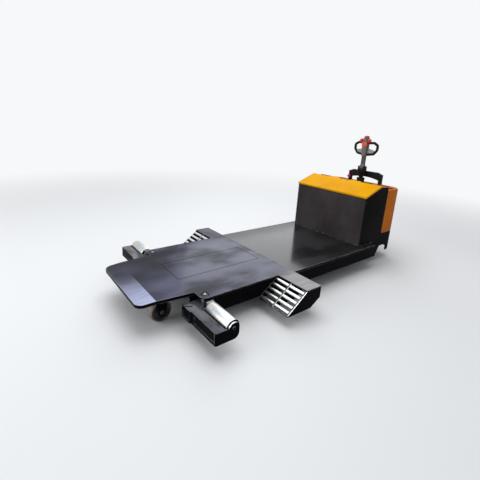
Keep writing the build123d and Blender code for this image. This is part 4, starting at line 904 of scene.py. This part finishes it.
# Wheels: cast polyurethane treads on dark red cores with turned hubs, browned by dust where they
# roll. The front two run in forks under the nose, the drive wheel in the carrier's gear leg, and
# the casters in swivelling forks.
wheel_tread, tread, tread_shader = open_material("wheel_tread", {})
tread_dirt = levels(cloud(tread, 0.03, (1.0, 1.6, 1.6), detail=7.0), 0.36, 0.66)
feed(tread_shader, {
    "Base Color": tinted(tread_dirt, (0.24, 0.20, 0.165), (0.12, 0.096, 0.082)),
    "Roughness": levels(tread_dirt, 0.0, 1.0, 0.42, 0.66)})
bumped(tread_shader, cloud(tread, 0.004), 0.0004, 0.6)
wheel_core = enamel("wheel_core", colour=(0.040, 0.010, 0.009), film=(0.06, 0.02, 0.018),
                    worn=(0.12, 0.08, 0.08), gloss=(0.35, 0.55), patch=0.02, gleam=0.25)
hub_steel = enamel("hub_steel", colour=(0.020, 0.020, 0.022), film=(0.05, 0.05, 0.05),
                   worn=(0.25, 0.25, 0.26), gloss=(0.3, 0.5), patch=0.02, gleam=0.4)
front_axle_y, front_axle_z = -1.342, 0.085
wheels = [  # node, axle's y and z, core's radius, hub's radius
    ("front_wheel_right", front_axle_y, front_axle_z, 0.0635, 0.0265),
    ("front_wheel_left", front_axle_y, front_axle_z, 0.0635, 0.0265),
    ("drive_wheel", 1.407, 0.115, 0.0705, 0.0405),
    ("caster_wheel_right", 1.350, 0.050, 0.0150, 0.0150),
    ("caster_wheel_left", 1.350, 0.050, 0.0150, 0.0150),
]
finished_wheels = {}
for node, axle_y, axle_z, core_radius, hub_radius in wheels:
    wheel = ground_edges(node, node, "wheel_tread", wheel_tread, width=0.0012)
    for material, reach in ((wheel_core, core_radius), (hub_steel, hub_radius)):
        refinish(wheel, material, lambda c, n: math.hypot(c.y - axle_y, c.z - axle_z) < reach)
    finished_wheels[node] = wheel
for side in ("right", "left"):
    ground_edges("caster_fork_" + side, "caster_" + side, "frame_black", frame_paint, width=0.001)
fork_nuts = [surface_place([finished_wheels["front_wheel_" + side], wheel_mounts],
                           (way * 0.40, front_axle_y, front_axle_z), (-way, 0, 0))
             for side, way in (("right", 1), ("left", -1))]
bolt_heads("fork_nuts", fork_nuts, "root", "pin_steel", hub_steel,
           head_radius=0.0135, head_height=0.0085)

# Tiller: a painted tube with a collar, and a moulded head with two closed hand loops, ribbed
# thumb paddles, a soft safety button on its top and a plain panel on its front.
tube_paint = enamel("tube_enamel", colour=(0.060, 0.055, 0.055), film=(0.09, 0.085, 0.085),
                    worn=(0.26, 0.25, 0.25), gloss=(0.3, 0.48), patch=0.04, gleam=0.3)
collar_paint = enamel("collar_enamel", colour=(0.12, 0.115, 0.115), film=(0.20, 0.195, 0.19),
                      worn=(0.4, 0.4, 0.4), gloss=(0.35, 0.5), patch=0.03, gleam=0.4)
collar_low, collar_high = 1.0275, 1.0445
tiller_tube = ground_edges("tiller_tube", "tiller", "tiller_steel", tube_paint, width=0.0012)
refinish(tiller_tube, collar_paint, lambda c, n: collar_low < c.z < collar_high)
head_skin = powder("head_moulding", colour=(0.112, 0.097, 0.089), speck=(0.140, 0.124, 0.115),
                   gloss=(0.42, 0.58), gleam=0.3)
web_skin = powder("web_moulding", colour=(0.26, 0.25, 0.24), speck=(0.31, 0.30, 0.29),
                  gloss=(0.42, 0.58), gleam=0.3)
head_half = 0.0345
tiller_head = ground_edges("tiller_head", "tiller", "head_grey", head_skin, width=0.002, steps=3)
refinish(tiller_head, web_skin, lambda c, n: abs(c.x) > head_half)
ground_edges("tiller_grips", "tiller", "grip_black", rubber_black, width=0.001)
ground_edges("belly_switch", "tiller", "switch_red", red_cap, width=0.004, steps=4)
orange_skin = gloss_paint("thumb_moulding", colour=(0.62, 0.060, 0.030),
                          shade=(0.48, 0.040, 0.022), gloss=(0.25, 0.4), gleam=0.15)
ground_edges("thumb_paddles", "tiller", "paddle_orange", orange_skin, width=0.0015)

# Thumb ribs: straight ribs moulded round each paddle, so that a thumb can turn it. They are
# evenly spaced and run along its axle.
rib_ring, rib = open_geometry("rib_ring", ("Ring Radius", "Float"), ("Rib Count", "Int"),
                              ("Rib Width", "Float"), ("Rib Length", "Float"))
ring = add_node(rib_ring, "GeometryNodeCurvePrimitiveCircle", {
    "Resolution": 48, "Radius": rib["Ring Radius"]})
ring_points = add_node(rib_ring, "GeometryNodeCurveToPoints", {
    "Curve": ring.outputs["Curve"], "Count": rib["Rib Count"]}, mode="COUNT")
rib_size = add_node(rib_ring, "ShaderNodeCombineXYZ", {
    "X": rib["Rib Width"], "Y": rib["Rib Length"], "Z": rib["Rib Width"]})
one_rib = add_node(rib_ring, "GeometryNodeMeshCube", {"Size": rib_size.outputs[0]})
ribs = add_node(rib_ring, "GeometryNodeInstanceOnPoints", {
    "Points": ring_points.outputs["Points"], "Instance": one_rib.outputs["Mesh"],
    "Rotation": ring_points.outputs["Rotation"]})
close_geometry(rib_ring, rib, ribs.outputs["Instances"])

paddle_y, paddle_z, paddle_radius = 1.389, 1.328, 0.020
paddle_low, paddle_high, paddle_margin = 0.037, 0.067, 0.003
rib_meshes = []
for way in (-1, 1):
    ribbed = grown("ribs", rib_ring, bpy.data.meshes.new("ribs"), 20,
                   ring_radius=paddle_radius, rib_count=18, rib_width=0.0022,
                   rib_length=paddle_high - paddle_low - 2 * paddle_margin, finish=orange_skin)
    ribbed.data.transform(
        Matrix.Translation(Vector((way * (paddle_low + paddle_high) / 2, paddle_y, paddle_z)))
        @ Matrix.Rotation(math.radians(90.0), 4, "Y"))
    rib_meshes.append(ribbed.data)
    bpy.data.objects.remove(ribbed)
hand_in(joined("thumb_ribs", rib_meshes, orange_skin), "tiller", "paddle_orange")

panel_skin = gloss_paint("panel_moulding", colour=(0.72, 0.085, 0.040), shade=(0.60, 0.062, 0.03),
                         gloss=(0.3, 0.45), coat=0.05, gleam=0.15)
panel_low, panel_high = Vector((-0.031, 1.3665, 1.262)), Vector((0.031, 1.374, 1.309))
panel = bmesh.new()
bmesh.ops.create_cube(panel, size=1.0)
panel.transform(Matrix.Translation((panel_low + panel_high) / 2)
                @ Matrix.Diagonal((*(panel_high - panel_low), 1.0)))
bmesh.ops.bevel(panel, geom=panel.edges, offset=0.0022, segments=3, profile=0.5, affect="EDGES")
panel_mesh = mesh_from(panel, "head_panel")
smooth_below(panel_mesh, 30)
hand_in(place_object("head_panel", panel_mesh, panel_skin), "tiller", "paddle_orange")

bpy.context.scene.view_settings.view_transform = "Standard"
